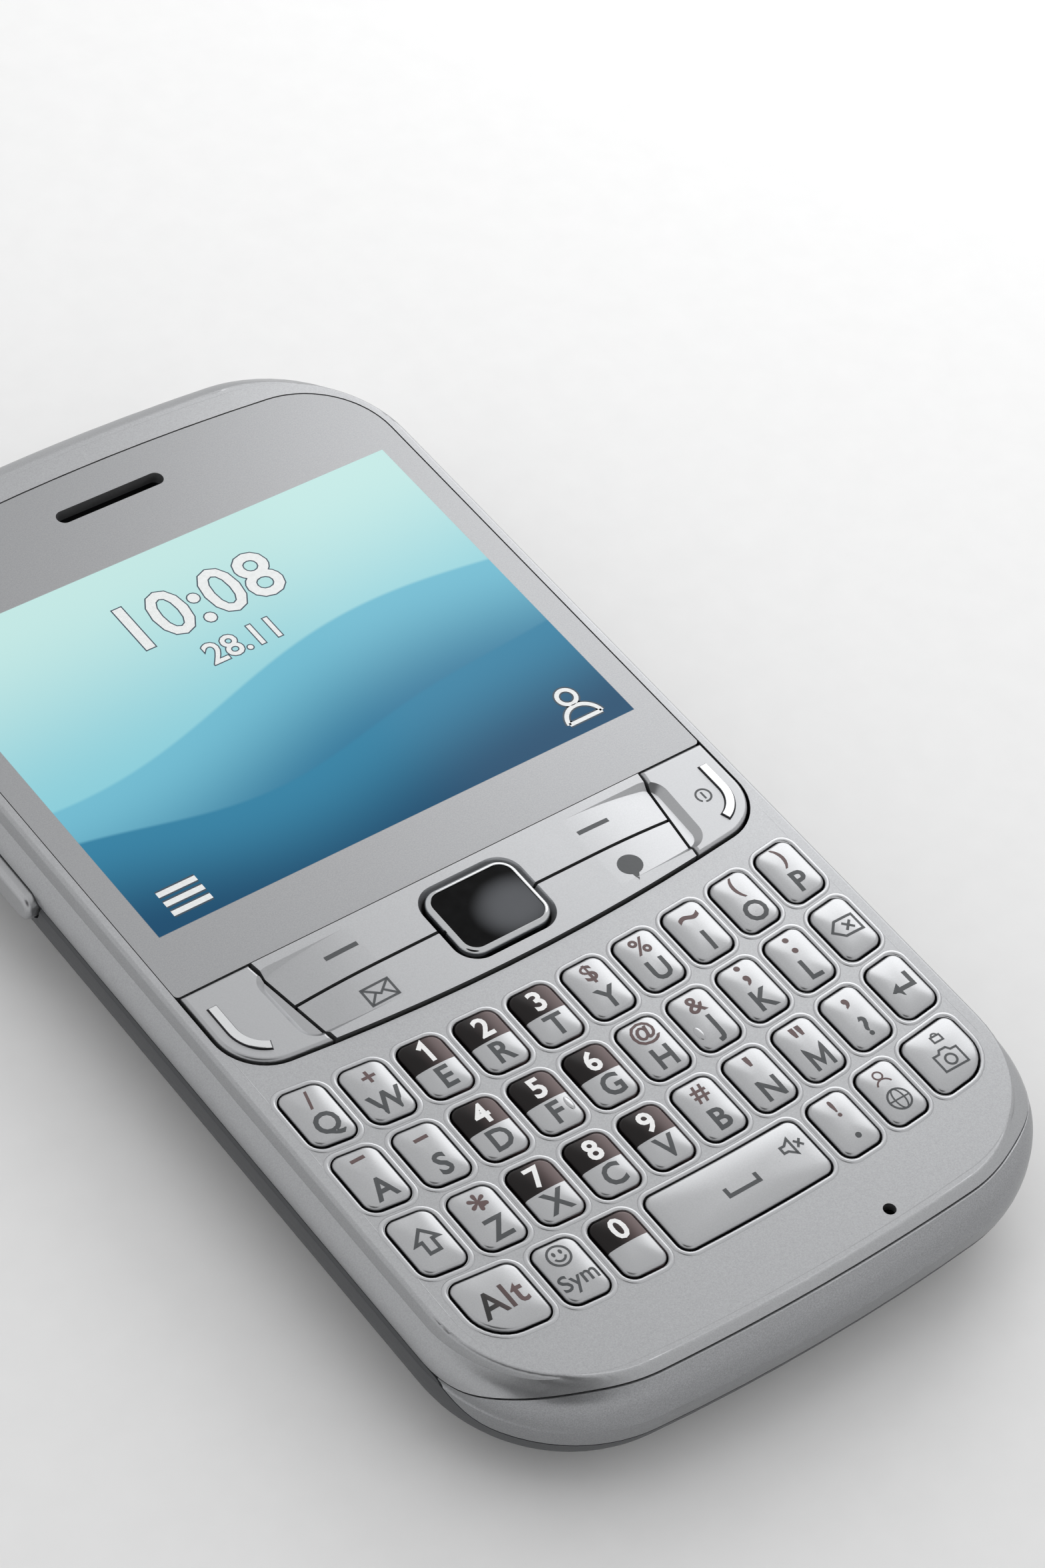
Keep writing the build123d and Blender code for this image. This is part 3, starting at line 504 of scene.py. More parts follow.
def round_loop(half_x, half_y, radii):
    """Closed loop of a rectangle with round corners, counter-clockwise from its right side.

    radii are those of the upper right, upper left, lower left and lower right corners. Each corner is
    a quarter circle of arc points, and each side between two corners is divided into run steps."""
    arc = 9
    run = 10
    signs = np.array([(1, 1), (-1, 1), (-1, -1), (1, -1)], float)
    radii = np.asarray(radii, float)
    turn = np.linspace(0, math.pi / 2, arc)
    starts = np.arange(4) * math.pi / 2
    angles = starts[:, None] + turn[None, :]
    centres = signs * (np.array([half_x, half_y]) - radii[:, None])
    rounds = np.stack([np.cos(angles), np.sin(angles)], 2)
    arcs = centres[:, None, :] + radii[:, None, None] * rounds
    steps = np.linspace(0, 1, run + 1)[1:-1]
    ends = arcs[:, -1, :]
    nexts = np.roll(arcs[:, 0, :], -1, 0)
    runs = ends[:, None, :] + steps[None, :, None] * (nexts - ends)[:, None, :]
    return np.concatenate([arcs, runs], 1).reshape(-1, 2)


def key_table():
    """Every key of the keyboard as name, left, right, row middle and the radii of its four corners."""
    half = (KEY_PITCH[0] - KEY_WEB) / 2
    plain = (KEY_CORNER,) * 4
    table = {}
    rows = ("q w e r t y u i o p", "a s d f g h j k l backspace", "shift z x c v b n m question enter")
    for row, names in enumerate(rows):
        middle = KEYPAD_Y + (1.5 - row) * KEY_PITCH[1]
        for column, name in enumerate(names.split()):
            x = (column - 4.5) * KEY_PITCH[0]
            table[name] = (x - half, x + half, middle, plain)
    middle = KEYPAD_Y - 1.5 * KEY_PITCH[1]
    small = BOTTOM_PITCH - KEY_WEB
    widths = np.array([OUTER_WIDTH, small, small, SPACE_PITCH - KEY_WEB, small, small, OUTER_WIDTH])
    rights = np.cumsum(widths + KEY_WEB) - KEY_WEB
    rights -= rights[-1] / 2
    ends = {
        "alt": (KEY_CORNER, KEY_CORNER, OUTER_CORNER, KEY_CORNER),
        "camera": (KEY_CORNER, KEY_CORNER, KEY_CORNER, OUTER_CORNER),
    }
    names = ("alt", "symbol", "zero", "space", "period", "globe", "camera")
    for name, width, right in zip(names, widths.tolist(), rights.tolist()):
        table[name] = (right - width, right, middle, ends.get(name, plain))
    return table


KEYS = key_table()


def key_middle(name):
    """Middle of a key, on the bowed line of its row."""
    left, right, middle, _ = KEYS[name]
    x = (left + right) / 2
    return x, middle + float(bow(x))


def key_loop(name, grow):
    """Outline of a key grown all round: a round-cornered rectangle whose points rise with the bow."""
    left, right, middle, radii = KEYS[name]
    half_y = (KEY_PITCH[1] - KEY_WEB) / 2 + grow
    loop = round_loop((right - left) / 2 + grow, half_y, [radius + grow for radius in radii])
    x = loop[:, 0] + (left + right) / 2
    return np.stack([x, middle + loop[:, 1] + bow(x)], 1)


def cap_height(name, x, y, drop):
    """Height of a pillow cap: its top, less the drop times a power of the distance from its middle.

    The distance is that of a rounded square: the fifth root of the sum of the fifth powers of x and y."""
    left, right, _, _ = KEYS[name]
    cx, cy = key_middle(name)
    half_x = (right - left) / 2 - KEY_GAP
    half_y = (KEY_PITCH[1] - KEY_WEB) / 2 - KEY_GAP
    across = np.abs((x - cx) / half_x) ** CAP_SQUARE
    along = np.abs((y - cy) / half_y) ** CAP_SQUARE
    far = (across + along) ** (1 / CAP_SQUARE)
    return KEY_Z - drop * far**CAP_FALL


def ring_faces(rings, count):
    """Quads between consecutive rings of count points."""
    ring = np.arange(rings - 1)[:, None] * count
    step = np.arange(count)[None, :]
    after = (step + 1) % count
    quads = [ring + step, ring + after, ring + count + after, ring + count + step]
    return np.stack(quads, 2).reshape(-1, 4)


def worded(words, height, bold, place=(0, 0), number=LETTER_INK, spacing=1.0):
    """Some words about a place, by the height of capitals, as a flat shape of triangles."""
    curve = bpy.data.curves.new("words", "FONT")
    curve.body = words
    curve.offset = bold
    curve.space_character = spacing
    curve.resolution_u = 3
    holder = placed("words", curve)
    evaluated = holder.evaluated_get(bpy.context.evaluated_depsgraph_get())
    mesh = bpy.data.meshes.new_from_object(evaluated)
    bpy.data.objects.remove(holder)
    shape = bmesh.new()
    shape.from_mesh(mesh)
    bmesh.ops.remove_doubles(shape, verts=shape.verts, dist=1e-5)
    bmesh.ops.triangulate(shape, faces=shape.faces)
    bmesh.ops.subdivide_edges(shape, edges=shape.edges, cuts=1)
    bmesh.ops.triangulate(shape, faces=shape.faces)
    shape.to_mesh(mesh)
    shape.free()
    points = np.empty(len(mesh.vertices) * 3)
    mesh.vertices.foreach_get("co", points)
    points = points.reshape(-1, 3)[:, :2] * height / CAPITAL_SHARE
    faces = face_corners(mesh).reshape(-1, 3)
    bpy.data.meshes.remove(mesh)
    return moved((points - (points.min(0) + points.max(0)) / 2, faces), place, number)


def stroke(points, width, closed=False):
    """Ribbon of even width along a line: each point moved to both sides along the mean of its normals."""
    points = np.asarray(points, float)
    ahead = np.roll(points, -1, 0) - points
    behind = points - np.roll(points, 1, 0)
    if not closed:
        ahead[-1] = behind[-1]
        behind[0] = ahead[0]
    ahead /= np.linalg.norm(ahead, axis=1)[:, None]
    behind /= np.linalg.norm(behind, axis=1)[:, None]
    mean = ahead + behind
    mean /= np.linalg.norm(mean, axis=1)[:, None]
    normal = np.stack([-mean[:, 1], mean[:, 0]], 1)
    reach = width / 2 / np.maximum((mean * ahead).sum(1), 0.4)
    sides = np.stack([points - normal * reach[:, None], points + normal * reach[:, None]], 1)
    count = len(points)
    step = np.arange(count if closed else count - 1)
    after = (step + 1) % count
    faces = np.stack([2 * step, 2 * after, 2 * after + 1, 2 * step + 1], 1)
    return sides.reshape(-1, 2), faces


def fan_faces(count, centre=0, first=1):
    """Triangles from a centre to each pair of neighbours in a ring of count points after the first."""
    step = np.arange(count)
    return np.stack([np.full(count, centre), first + step, first + (step + 1) % count], 1)


def unit_circle(count):
    """Points round a circle of radius 1."""
    turn = np.linspace(0, 2 * math.pi, count, endpoint=False)
    return np.stack([np.cos(turn), np.sin(turn)], 1)


def disc(centre, radius, stretch=1.0):
    """Filled ellipse as a fan about its centre."""
    count = 28
    rim = unit_circle(count) * (radius, radius * stretch)
    return np.concatenate([[(0, 0)], rim]) + np.asarray(centre), fan_faces(count)


def fan(corners):
    """Filled convex shape as a fan about its middle."""
    corners = np.asarray(corners, float)
    return np.concatenate([[corners.mean(0)], corners]), fan_faces(len(corners))


def circle(centre, radius, start=0.0, end=360.0, stretch=1.0):
    """Points along an arc of an ellipse, from a start to an end angle in degrees."""
    count = 30
    turn = np.radians(np.linspace(start, end, count, endpoint=end - start < 360))
    return np.stack([np.cos(turn), stretch * np.sin(turn)], 1) * radius + np.asarray(centre)


def dense(points, closed=False):
    """A line with extra points, so that a mark can follow a curved surface."""
    step = 0.15
    points = np.asarray(points, float)
    if closed:
        points = np.concatenate([points, points[:1]])
    way = np.concatenate([[0], np.cumsum(np.linalg.norm(np.diff(points, axis=0), axis=1))])
    extra = np.linspace(0, way[-1], max(2, int(way[-1] / step)))
    along = np.unique(np.concatenate([way, extra]))
    line = np.stack([np.interp(along, way, points[:, axis]) for axis in (0, 1)], 1)
    return line[:-1] if closed else line


def gather(parts):
    """Joins flat shapes, each points, faces and an ink number, into one set of arrays."""
    points, faces, inks, start = [], [], [], 0
    for shape_points, shape_faces, number in parts:
        points.append(shape_points)
        faces.extend((np.asarray(shape_faces) + start).tolist())
        inks.extend([number] * len(shape_faces))
        start += len(shape_points)
    return np.concatenate(points), faces, inks


def moved(shape, place=(0, 0), number=LETTER_INK):
    """A flat shape moved to a place, with its ink number."""
    points, faces = shape
    return points + np.array(place), faces, number


def lined(points, width, number=LETTER_INK, closed=False, at=(0, 0)):
    """A stroke of a width along a line, as a flat shape with its ink number."""
    return moved(stroke(dense(points, closed), width, closed), at, number)


def icon_shapes(name):
    """Plain signs of the keys that carry no letter, about the middle of the key."""
    if name == "shift":
        arrow = [
            (0, 1.15), (1.05, 0), (0.48, 0), (0.48, -1.15), (-0.48, -1.15), (-0.48, 0), (-1.05, 0),
        ]
        return [lined(arrow, 0.3, closed=True)]
    if name == "enter":
        return [
            lined([(1.0, 1.0), (1.0, -0.4), (-0.5, -0.4)], 0.42),
            moved(fan([(-1.25, -0.4), (-0.35, -1.1), (-0.35, 0.3)])),
        ]
    if name == "backspace":
        tag = [(-1.35, 0), (-0.55, 0.85), (1.3, 0.85), (1.3, -0.85), (-0.55, -0.85)]
        return [
            lined(tag, 0.24, closed=True),
            lined([(-0.1, 0.4), (0.75, -0.4)], 0.24),
            lined([(-0.1, -0.4), (0.75, 0.4)], 0.24),
        ]
    if name == "space":
        mute = (5.6, 0.7)
        horn = [(-0.8, 0.3), (-0.35, 0.3), (0.25, 0.8), (0.25, -0.8), (-0.35, -0.3), (-0.8, -0.3)]
        return [
            lined([(-1.5, 0.25), (-1.5, -0.55), (1.5, -0.55), (1.5, 0.25)], 0.36),
            lined(horn, 0.22, closed=True, at=mute),
            lined([(0.6, 0.35), (1.2, -0.35)], 0.22, at=mute),
            lined([(0.6, -0.35), (1.2, 0.35)], 0.22, at=mute),
        ]
    if name == "camera":
        lock = (0.35, 1.65)
        case = [
            (-1.2, -1.55), (1.2, -1.55), (1.2, 0.1), (0.6, 0.1),
            (0.35, 0.45), (-0.35, 0.45), (-0.6, 0.1), (-1.2, 0.1),
        ]
        block = [(-0.45, -0.45), (0.45, -0.45), (0.45, 0.15), (-0.45, 0.15)]
        return [
            lined(case, 0.2, closed=True),
            lined(circle((0, -0.72), 0.5), 0.2, closed=True),
            lined(block, 0.18, closed=True, at=lock),
            lined(circle((0, 0.15), 0.28, 0, 180), 0.16, at=lock),
        ]
    if name == "globe":
        middle = (0.0, -0.95)
        return [
            lined(circle(middle, 1.0), 0.18, closed=True),
            lined(circle(middle, 0.45, stretch=2.2), 0.14, closed=True),
            lined([(-0.98, -0.95), (0.98, -0.95)], 0.14),
            lined(circle((-0.05, 1.75), 0.4), 0.16, SIGN_INK, True),
            lined(circle((-0.05, 0.55), 0.75, 20, 160), 0.16, SIGN_INK),
        ]
    if name == "symbol":
        face = np.array([-0.1, 1.45])
        return [
            worded("Sym", 1.5, 0.012, (-0.05, -1.15)),
            lined(circle(face, 0.95), 0.2, closed=True),
            lined(circle(face, 0.52, 200, 340), 0.2),
            moved(disc(face + (-0.32, 0.28), 0.15, 1.5)),
            moved(disc(face + (0.32, 0.28), 0.15, 1.5)),
        ]
    return []


def key_shapes(name, letter_height, symbol_height):
    """All marks of one key about its middle: letter, sign or digit, or a plain sign."""
    shapes = icon_shapes(name)
    half = letter_height / 2
    if name == "alt":
        shapes.append(worded("Alt", ALT_HEIGHT, 0.016, number=FADING_INK, spacing=ALT_SPACING))
    if name == "m":
        m_line = [(-0.82, -half), (-0.82, half), (0, -0.45 * half), (0.82, half), (0.82, -half)]
        shapes.append(lined(m_line, 0.36, at=LETTER_PLACE))
    elif len(name) == 1:
        shapes.append(worded(name.upper(), letter_height, LETTER_BOLD, LETTER_PLACE))
    if name in BARS:
        shapes.append(lined([(-0.65, BARS[name]), (0.65, BARS[name])], 0.34, SIGN_INK))
    if name == "question":
        shapes.append(worded("?", letter_height * 0.95, LETTER_BOLD, QUESTION_PLACE))
    if name == "period":
        shapes.append(worded(".", letter_height * 1.2, 0.02, PERIOD_PLACE))
    if name == "e":
        one_line = [(-0.42, 0.5 * half), (0.12, 0.95 * half), (0.12, -half)]
        shapes.append(lined(one_line, 0.4, DIGIT_INK, at=SIGN_PLACE))
    elif name in DIGITS:
        shapes.append(worded(DIGITS[name], letter_height * 0.98, 0.026, SIGN_PLACE, DIGIT_INK))
    elif name in SYMBOLS:
        sign = SYMBOLS[name]
        height = symbol_height * (SMALL_SIGN_SCALE if sign in SMALL_SIGNS else 1.0)
        place = QUOTE_PLACE if sign in "'\"" else SIGN_PLACE
        shapes.append(worded(sign, height, SIGN_BOLD, place, SIGN_INK))
    return shapes


def strip_height(x, y):
    """Height of the navigation strip: flat, with a floor that sinks along an arc inside each recess."""
    reach = RECESS_OUTER - RECESS_INNER
    radius = (reach**2 + RECESS_DEPTH**2) / (2 * RECESS_DEPTH)
    along = np.clip(np.abs(x) - RECESS_INNER, 0, reach)
    inside = (y > RECESS_LOW) & (y < RECESS_HIGH) & (np.abs(x) < RECESS_OUTER)
    return STRIP_Z - np.where(inside, radius - np.sqrt(radius**2 - along**2), 0.0)


def window_height(x, y):
    """Height of the flat window."""
    return np.full_like(x, WINDOW_Z)


def print_marks(name, shapes, place, height, inks, body, rise=0.0):
    """Lays flat shapes on a surface: each point takes its height there, plus the lift of all marks."""
    points, faces, numbers = gather(shapes)
    plan = points + np.asarray(place)
    lift = bpy.context.scene.phone_sizes.mark_lift / MM + rise
    solid = np.column_stack([plan, height(plan[:, 0], plan[:, 1]) + lift])
    new_piece(name, solid, faces, inks, body, smooth=False, numbers=numbers)


class PhoneOperator(bpy.types.Operator):
    """Shared part of the operators: where the sizes and colours are."""

    bl_options = {"REGISTER", "UNDO"}

    @property
    def sizes(self):
        return bpy.context.scene.phone_sizes

    @property
    def colours(self):
        return bpy.context.scene.phone_colours


class PHONE_OT_shells(PhoneOperator):
    """Paints the front, the two ends, the battery cover and the side key."""

    bl_idname = "phone.shells"
    bl_label = "Shells"

    def execute(self, context):
        colours = self.colours
        # The front's openings and the inside of the ends' shell get black painted shade
        dress(metallic_paint("front_paint", colours.silver, painted_shade=hole_wall_shade), "front_housing")
        dress(metallic_paint("bumper_paint", colours.bumper, 0.16, 0.37, 0.82, inner_face_shade), "rear_housing")
        dress(metallic_paint("side_key_paint", colours.key, 0.06, 0.3), "volume_key")
        dress(soft_plastic("cover_plastic", colours.cover, 0.5, 6000.0, 0.012), "battery_cover")
        return {"FINISHED"}


class PHONE_OT_window(PhoneOperator):
    """Finishes the window: painted border, lit screen with soft hills, plain clock and two plain signs."""

    bl_idname = "phone.window"
    bl_label = "Window and screen"

    def screen_finish(self):
        """Border paint outside the screen; inside it, a sky and two hills whose edges are sums of sines."""
        window = Finish("window_glass")
        x, y, z = window.axes()
        tall = SCREEN_HIGH - SCREEN_LOW
        lit = (z - WINDOW_Z).smooth(*SCREEN_FACE)
        for place, half in ((x, SCREEN_HALF), (y - SCREEN_LOW - tall / 2, tall / 2)):
            lit = lit * (1 - abs(place).smooth(half - SCREEN_BLUR, half + SCREEN_BLUR))
        high = (y - SCREEN_LOW) / tall
        picture = window.mix(high.smooth(0.35, 1.0), *SKY)
        for level, waves, reach, light, deep in HILLS:
            depth = level - high
            for rate, start, height in waves:
                depth = depth + (x * rate + start).sine() * height
            hill = window.mix(depth.smooth(0.0, reach), light, deep)
            picture = window.mix(depth.smooth(-HILL_BLUR, HILL_BLUR), picture, hill)
        silver = self.colours.silver
        grain = (window.flakes() - 0.5) * FLAKE_SPREAD + 0.5
        border = window.mix(grain, scaled(silver, 0.76), scaled(silver, 1.0))
        return window.set(
            Base_Color=window.mix(lit, border, (0.004, 0.005, 0.006)), Metallic=(1 - lit) * 0.75,
            Roughness=0.34 - lit * 0.22, Specular_IOR_Level=0.12,
            Emission_Color=window.mix(lit, (0.0, 0.0, 0.0), picture), Emission_Strength=SCREEN_GLOW)

    def screen_signs(self, extra):
        """Menu bars, person, clock and date, with strokes made wider by an extra width."""
        menu = (-SCREEN_HALF + MENU_INSET[0], SCREEN_LOW + MENU_INSET[1])
        person = (SCREEN_HALF - PERSON_INSET[0], SCREEN_LOW + PERSON_INSET[1])
        shoulders = circle((0, -1.7), 1.75, 5, 175)
        bars = [lined([(-1.9, rise), (1.9, rise)], 0.55 + extra, at=menu) for rise in (-1.1, 0, 1.1)]
        figure = [
            lined(circle((0, 1.2), 0.85), 0.4 + extra, closed=True, at=person),
            lined(shoulders, 0.4 + extra, at=person),
            lined([shoulders[0], shoulders[-1]], 0.4 + extra, at=person),
        ]
        clock = worded("10:08", 5.4, 0.012 + extra * 0.05, (0, CLOCK_Y))
        date = worded("28.11", 2.5, 0.012 + extra * 0.1, (0, DATE_Y))
        return bars + figure + [clock, date]

    def execute(self, context):
        dress(self.screen_finish(), "display_window")
        dark = ink("screen_outline", (0.02, 0.05, 0.08))
        white = ink("screen_white", (0.86, 0.88, 0.88))
        for name, extra, material, rise in (("outline", 0.32, dark, 0.0), ("face", 0.0, white, 0.006)):
            print_marks(
                f"screen_signs_{name}", self.screen_signs(extra), (0, 0), window_height, [material],
                "housing", rise)
        return {"FINISHED"}


class PHONE_OT_key_caps(PhoneOperator):
    """Replaces the keys by pillow caps; digit keys have a dark upper half."""

    bl_idname = "phone.key_caps"
    bl_label = "Key caps"

    def digit_finish(self):
        """Dark gloss above the middle line of the key, lightened towards the right as a painted sheen, and
        silver below it; the walls take the dark gloss as painted shade.
        """
        cap = Finish("digit_key_paint")
        u, v, _ = cap.axes("UV", 1.0)
        wall_shade = cap_wall_shade(*cap.axes())
        dark = v.smooth(-0.035, 0.005).math("MAXIMUM", wall_shade)
        silver = cap.mix(cap.flakes(), scaled(self.colours.key, 0.93), scaled(self.colours.key, 1.07))
        # Painted sheen: the dark half grows lighter from left to right
        dark_with_painted_sheen = cap.mix(u.smooth(-0.9, 2.6), (0.006, 0.004, 0.004), (0.17, 0.12, 0.12))
        return cap.set(
            Base_Color=cap.mix(dark, silver, dark_with_painted_sheen), Metallic=(1 - dark) * 0.8, Roughness=0.3 - dark * 0.1,
            Specular_IOR_Level=0.2)

    def cap(self, name, low):
        """Points, faces and plan of a cap.

        Rings grow from its middle to the crown's outline, turn down along a quarter circle at the edge,
        and end in an upright wall."""
        drop = self.sizes.cap_drop / MM
        radius = self.sizes.cap_round / MM
        centre = np.array(key_middle(name))
        crown = key_loop(name, -KEY_GAP - radius)
        count = len(crown)
        rings = [centre + part * (crown - centre) for part in np.linspace(0, 1, CAP_RINGS + 1)[1:]]
        heights = [cap_height(name, ring[:, 0], ring[:, 1], drop) for ring in rings]
        edge = heights[-1]
        for angle in np.linspace(0, math.pi / 2, CAP_BEND_STEPS + 1)[1:]:
            rings.append(key_loop(name, -KEY_GAP - radius * (1 - math.sin(angle))))
            heights.append(edge - radius * (1 - math.cos(angle)))
        rings.append(rings[-1])
        heights.append(np.full(count, low))
        plan = np.concatenate([[centre], *rings, [centre]])
        points = np.column_stack([plan, np.concatenate([[KEY_Z], *heights, [low]])])
        sides = ring_faces(len(rings), count)[:, ::-1] + 1
        base = fan_faces(count, len(points) - 1, len(points) - 1 - count)[:, ::-1]
        return points, fan_faces(count).tolist() + sides.tolist() + base.tolist(), plan - centre

    def execute(self, context):
        # The walls of the caps get black painted shade
        silver = metallic_paint("key_paint", self.colours.key, 0.05, 0.29, 0.82, cap_wall_shade)
        digit = self.digit_finish()
        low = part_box("key_q")[0][2] / MM + CAP_BASE
        for name in KEYS:
            points, faces, uv = self.cap(name, low)
            paint, slot = (digit, "key_digit") if name in DIGITS else (silver, "key_silver")
            piece = new_piece(f"cap_{name}", points, faces, [paint], f"key_{name}", uv=uv)
            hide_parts(f"key_{name}")
        return {"FINISHED"}


class PHONE_OT_key_marks(PhoneOperator):
    """Prints the letters, digits and signs on the caps, and raises the two finger nubs."""

    bl_idname = "phone.key_marks"
    bl_label = "Key marks"

    def fading_ink(self):
        """Ink that fades from black on the left to the colour of the signs on the right."""
        word = Finish("fading_ink")
        x, _, _ = word.axes()
        fade = (x - key_middle("alt")[0]).smooth(-1.4, 1.6)
        return word.set(Base_Color=word.mix(fade, (0.004, 0.004, 0.004), self.colours.sign), Roughness=0.42)

    def execute(self, context):
        inks = [
            ink("letter_ink", self.colours.letter), ink("sign_ink", self.colours.sign),
            ink("digit_ink", self.colours.digit), self.fading_ink(),
        ]
        drop = self.sizes.cap_drop / MM
        for name in KEYS:
            shapes = key_shapes(name, self.sizes.letter_height / MM, self.sizes.symbol_height / MM)
            if shapes:
                surface = functools.partial(cap_height, name, drop=drop)
                print_marks(f"mark_{name}", shapes, key_middle(name), surface, inks, f"key_{name}")
        nub_paint = metallic_paint("nub_paint", self.colours.key, 0.04, 0.25)
        for name, side in (("f", 1), ("j", -1)):
            place = np.array(key_middle(name)) + np.array([side, 1]) * NUB_OFFSET
            self.nub(name, place, drop, nub_paint)
        return {"FINISHED"}

    def nub(self, name, place, drop, paint):
        """Half an ellipsoid: rings of a shrinking ellipse that rise as the sine of the same angle."""
        rise = np.linspace(0, math.pi / 2, NUB_RINGS + 1)[:-1]
        ellipse = unit_circle(NUB_STEPS) * NUB_HALF
        rings = (np.cos(rise)[:, None, None] * ellipse).reshape(-1, 2)
        plan = np.concatenate([rings, [(0, 0)]]) + place
        lifts = NUB_RISE * np.append(np.repeat(np.sin(rise), NUB_STEPS), 1.0)
        points = np.column_stack([plan, cap_height(name, plan[:, 0], plan[:, 1], drop) + lifts])
        top = fan_faces(NUB_STEPS, len(rings), len(rings) - NUB_STEPS)
        faces = ring_faces(NUB_RINGS, NUB_STEPS).tolist() + top.tolist()
        new_piece(f"nub_{name}", points, faces, [paint], f"key_{name}")


class PHONE_OT_key_rims(PhoneOperator):
    """Raises a rim round each key hole, lighter than the front as a painted highlight: a low half-round
    profile carried along its outline.
    """

    bl_idname = "phone.key_rims"
    bl_label = "Key rims"

    def execute(self, context):
        width = self.sizes.rim_width / MM
        height = self.sizes.rim_height / MM
        angle = np.linspace(0, math.pi, RIM_STEPS)
        grow = np.concatenate([width / 2 * (1 + np.cos(angle)), [-RIM_LINING, -RIM_LINING]])
        lining = FRONT_Z - np.array(RIM_LINING_DEPTHS)
        level = np.concatenate([FRONT_Z + height * np.sin(angle) - RIM_SINK, lining])
        points, faces, start = [], [], 0
        for name in KEYS:
            loops = np.stack([key_loop(name, reach) for reach in grow])
            rings, count, _ = loops.shape
            heights = np.broadcast_to(level[:, None, None], (rings, count, 1))
            points.append(np.concatenate([loops, heights], 2).reshape(-1, 3))
            faces.append(ring_faces(rings, count) + start)
            start += rings * count
        # Painted highlight: the rim takes the front's silver made lighter
        paint = metallic_paint("rim_painted_highlight", scaled(self.colours.silver, 1.22), 0.05, 0.3, 0.9)
        new_piece(
            "key_hole_rims", np.concatenate(points), np.concatenate(faces), [paint], "housing")
        return {"FINISHED"}


class PHONE_OT_strip(PhoneOperator):
    """Finishes the navigation strip and the trackpad, and prints their plain signs."""

    bl_idname = "phone.strip"
    bl_label = "Navigation strip"

    def ridge_finish(self):
        """Strip paint, with the raised ridge polished bright, a dark painted shadow line at its foot, and
        black painted shade on the walls.
        """
        paint = Finish("call_key_paint")
        x, y, z = paint.axes()
        flakes = paint.flakes()
        silver = scaled(self.colours.silver, STRIP_LIGHT)
        shade = paint.mix(flakes, scaled(silver, 0.91), scaled(silver, 1.09))
        # Painted shadow: a dark line at the foot of the ridge
        foot_shadow = (z - STRIP_Z).smooth(*RIDGE_FOOT_SHADOW)
        ridge = (z - STRIP_Z).smooth(*RIDGE_TOP)
        shade = paint.mix(foot_shadow, shade, (0.02, 0.02, 0.022))
        shade = paint.mix(ridge, shade, (0.7, 0.71, 0.72))
        wall_shade = strip_wall_shade(x, y, z)
        return paint.set(
            Base_Color=paint.mix(wall_shade, shade, PAINTED_SHADE_BLACK), Metallic=0.85 - wall_shade * 0.85,
            Roughness=0.31 + flakes * 0.05 - ridge * 0.2,
            Normal=paint.bump(flakes, FLAKE_RELIEF, FLAKE_STRENGTH))

    def trackpad_finish(self):
        """Black gloss with a painted highlight: a grey patch that fades with the elliptic distance from its
        middle.
        """
        glass = Finish("trackpad_painted_highlight")
        haze = glass.noise(900.0, 3.0)
        x, y, _ = glass.axes()
        # The grey patch is a painted highlight
        across = (x - HIGHLIGHT_MIDDLE[0]) / HIGHLIGHT_HALF[0]
        along = (y - HIGHLIGHT_MIDDLE[1]) / HIGHLIGHT_HALF[1]
        painted_highlight = 1 - (across * across + along * along).smooth(0.0, HIGHLIGHT_FADE)
        highlighted_black = glass.mix(painted_highlight * 0.95 + haze * 0.05, (0.001, 0.001, 0.001), (0.12, 0.125, 0.135))
        return glass.set(Base_Color=highlighted_black, Roughness=0.14 + haze * 0.05, Specular_IOR_Level=0.05)

    def execute(self, context):
        silver = scaled(self.colours.silver, STRIP_LIGHT)
        # The walls of the strip's keys get black painted shade
        paint = metallic_paint("strip_paint", silver, 0.06, 0.33, painted_shade=strip_wall_shade)
        dress(paint, "soft_key_bar", "shortcut_key_bar")
        dress(self.ridge_finish(), "call_key", "end_key")
        dress(bright_metal("trackpad_chrome", (0.5, 0.51, 0.52), 0.1), "trackpad_bezel")
        dress(self.trackpad_finish(), "trackpad_window")
        dashes = [lined([(side * end, DASH_Y) for end in DASH_ENDS], 0.42) for side in (-1, 1)]
        envelope = [
            lined([(-1.3, 0.88), (1.3, 0.88), (1.3, -0.88), (-1.3, -0.88)], 0.21, closed=True),
            lined([(-1.3, 0.88), (0, -0.15), (1.3, 0.88)], 0.21),
            lined([(-1.3, -0.88), (-0.35, 0.1)], 0.21),
            lined([(1.3, -0.88), (0.35, 0.1)], 0.21),
        ]
        bubble = [
            moved(disc((0, 0.15), 1.15, 0.92), BUBBLE_OFFSET),
            moved(fan([(-0.5, -0.6), (-0.35, -1.6), (0.2, -0.8)]), BUBBLE_OFFSET),
        ]
        x, y = POWER_PLACE
        power = [
            lined(circle(POWER_PLACE, 0.68), 0.18, closed=True),
            lined([(x, y + 0.4), (x, y - 0.4)], 0.18),
        ]
        mark = ink("strip_ink", (0.06, 0.065, 0.07))
        for name, shapes, place, body in (
                ("soft_dashes", dashes, (0, 0), "soft_key_bar"),
                ("shortcut_signs", envelope + bubble, ENVELOPE_PLACE, "shortcut_key_bar"),
                ("power_sign", power, (0, 0), "end_key")):
            print_marks(name, shapes, place, strip_height, [mark], body)
        return {"FINISHED"}


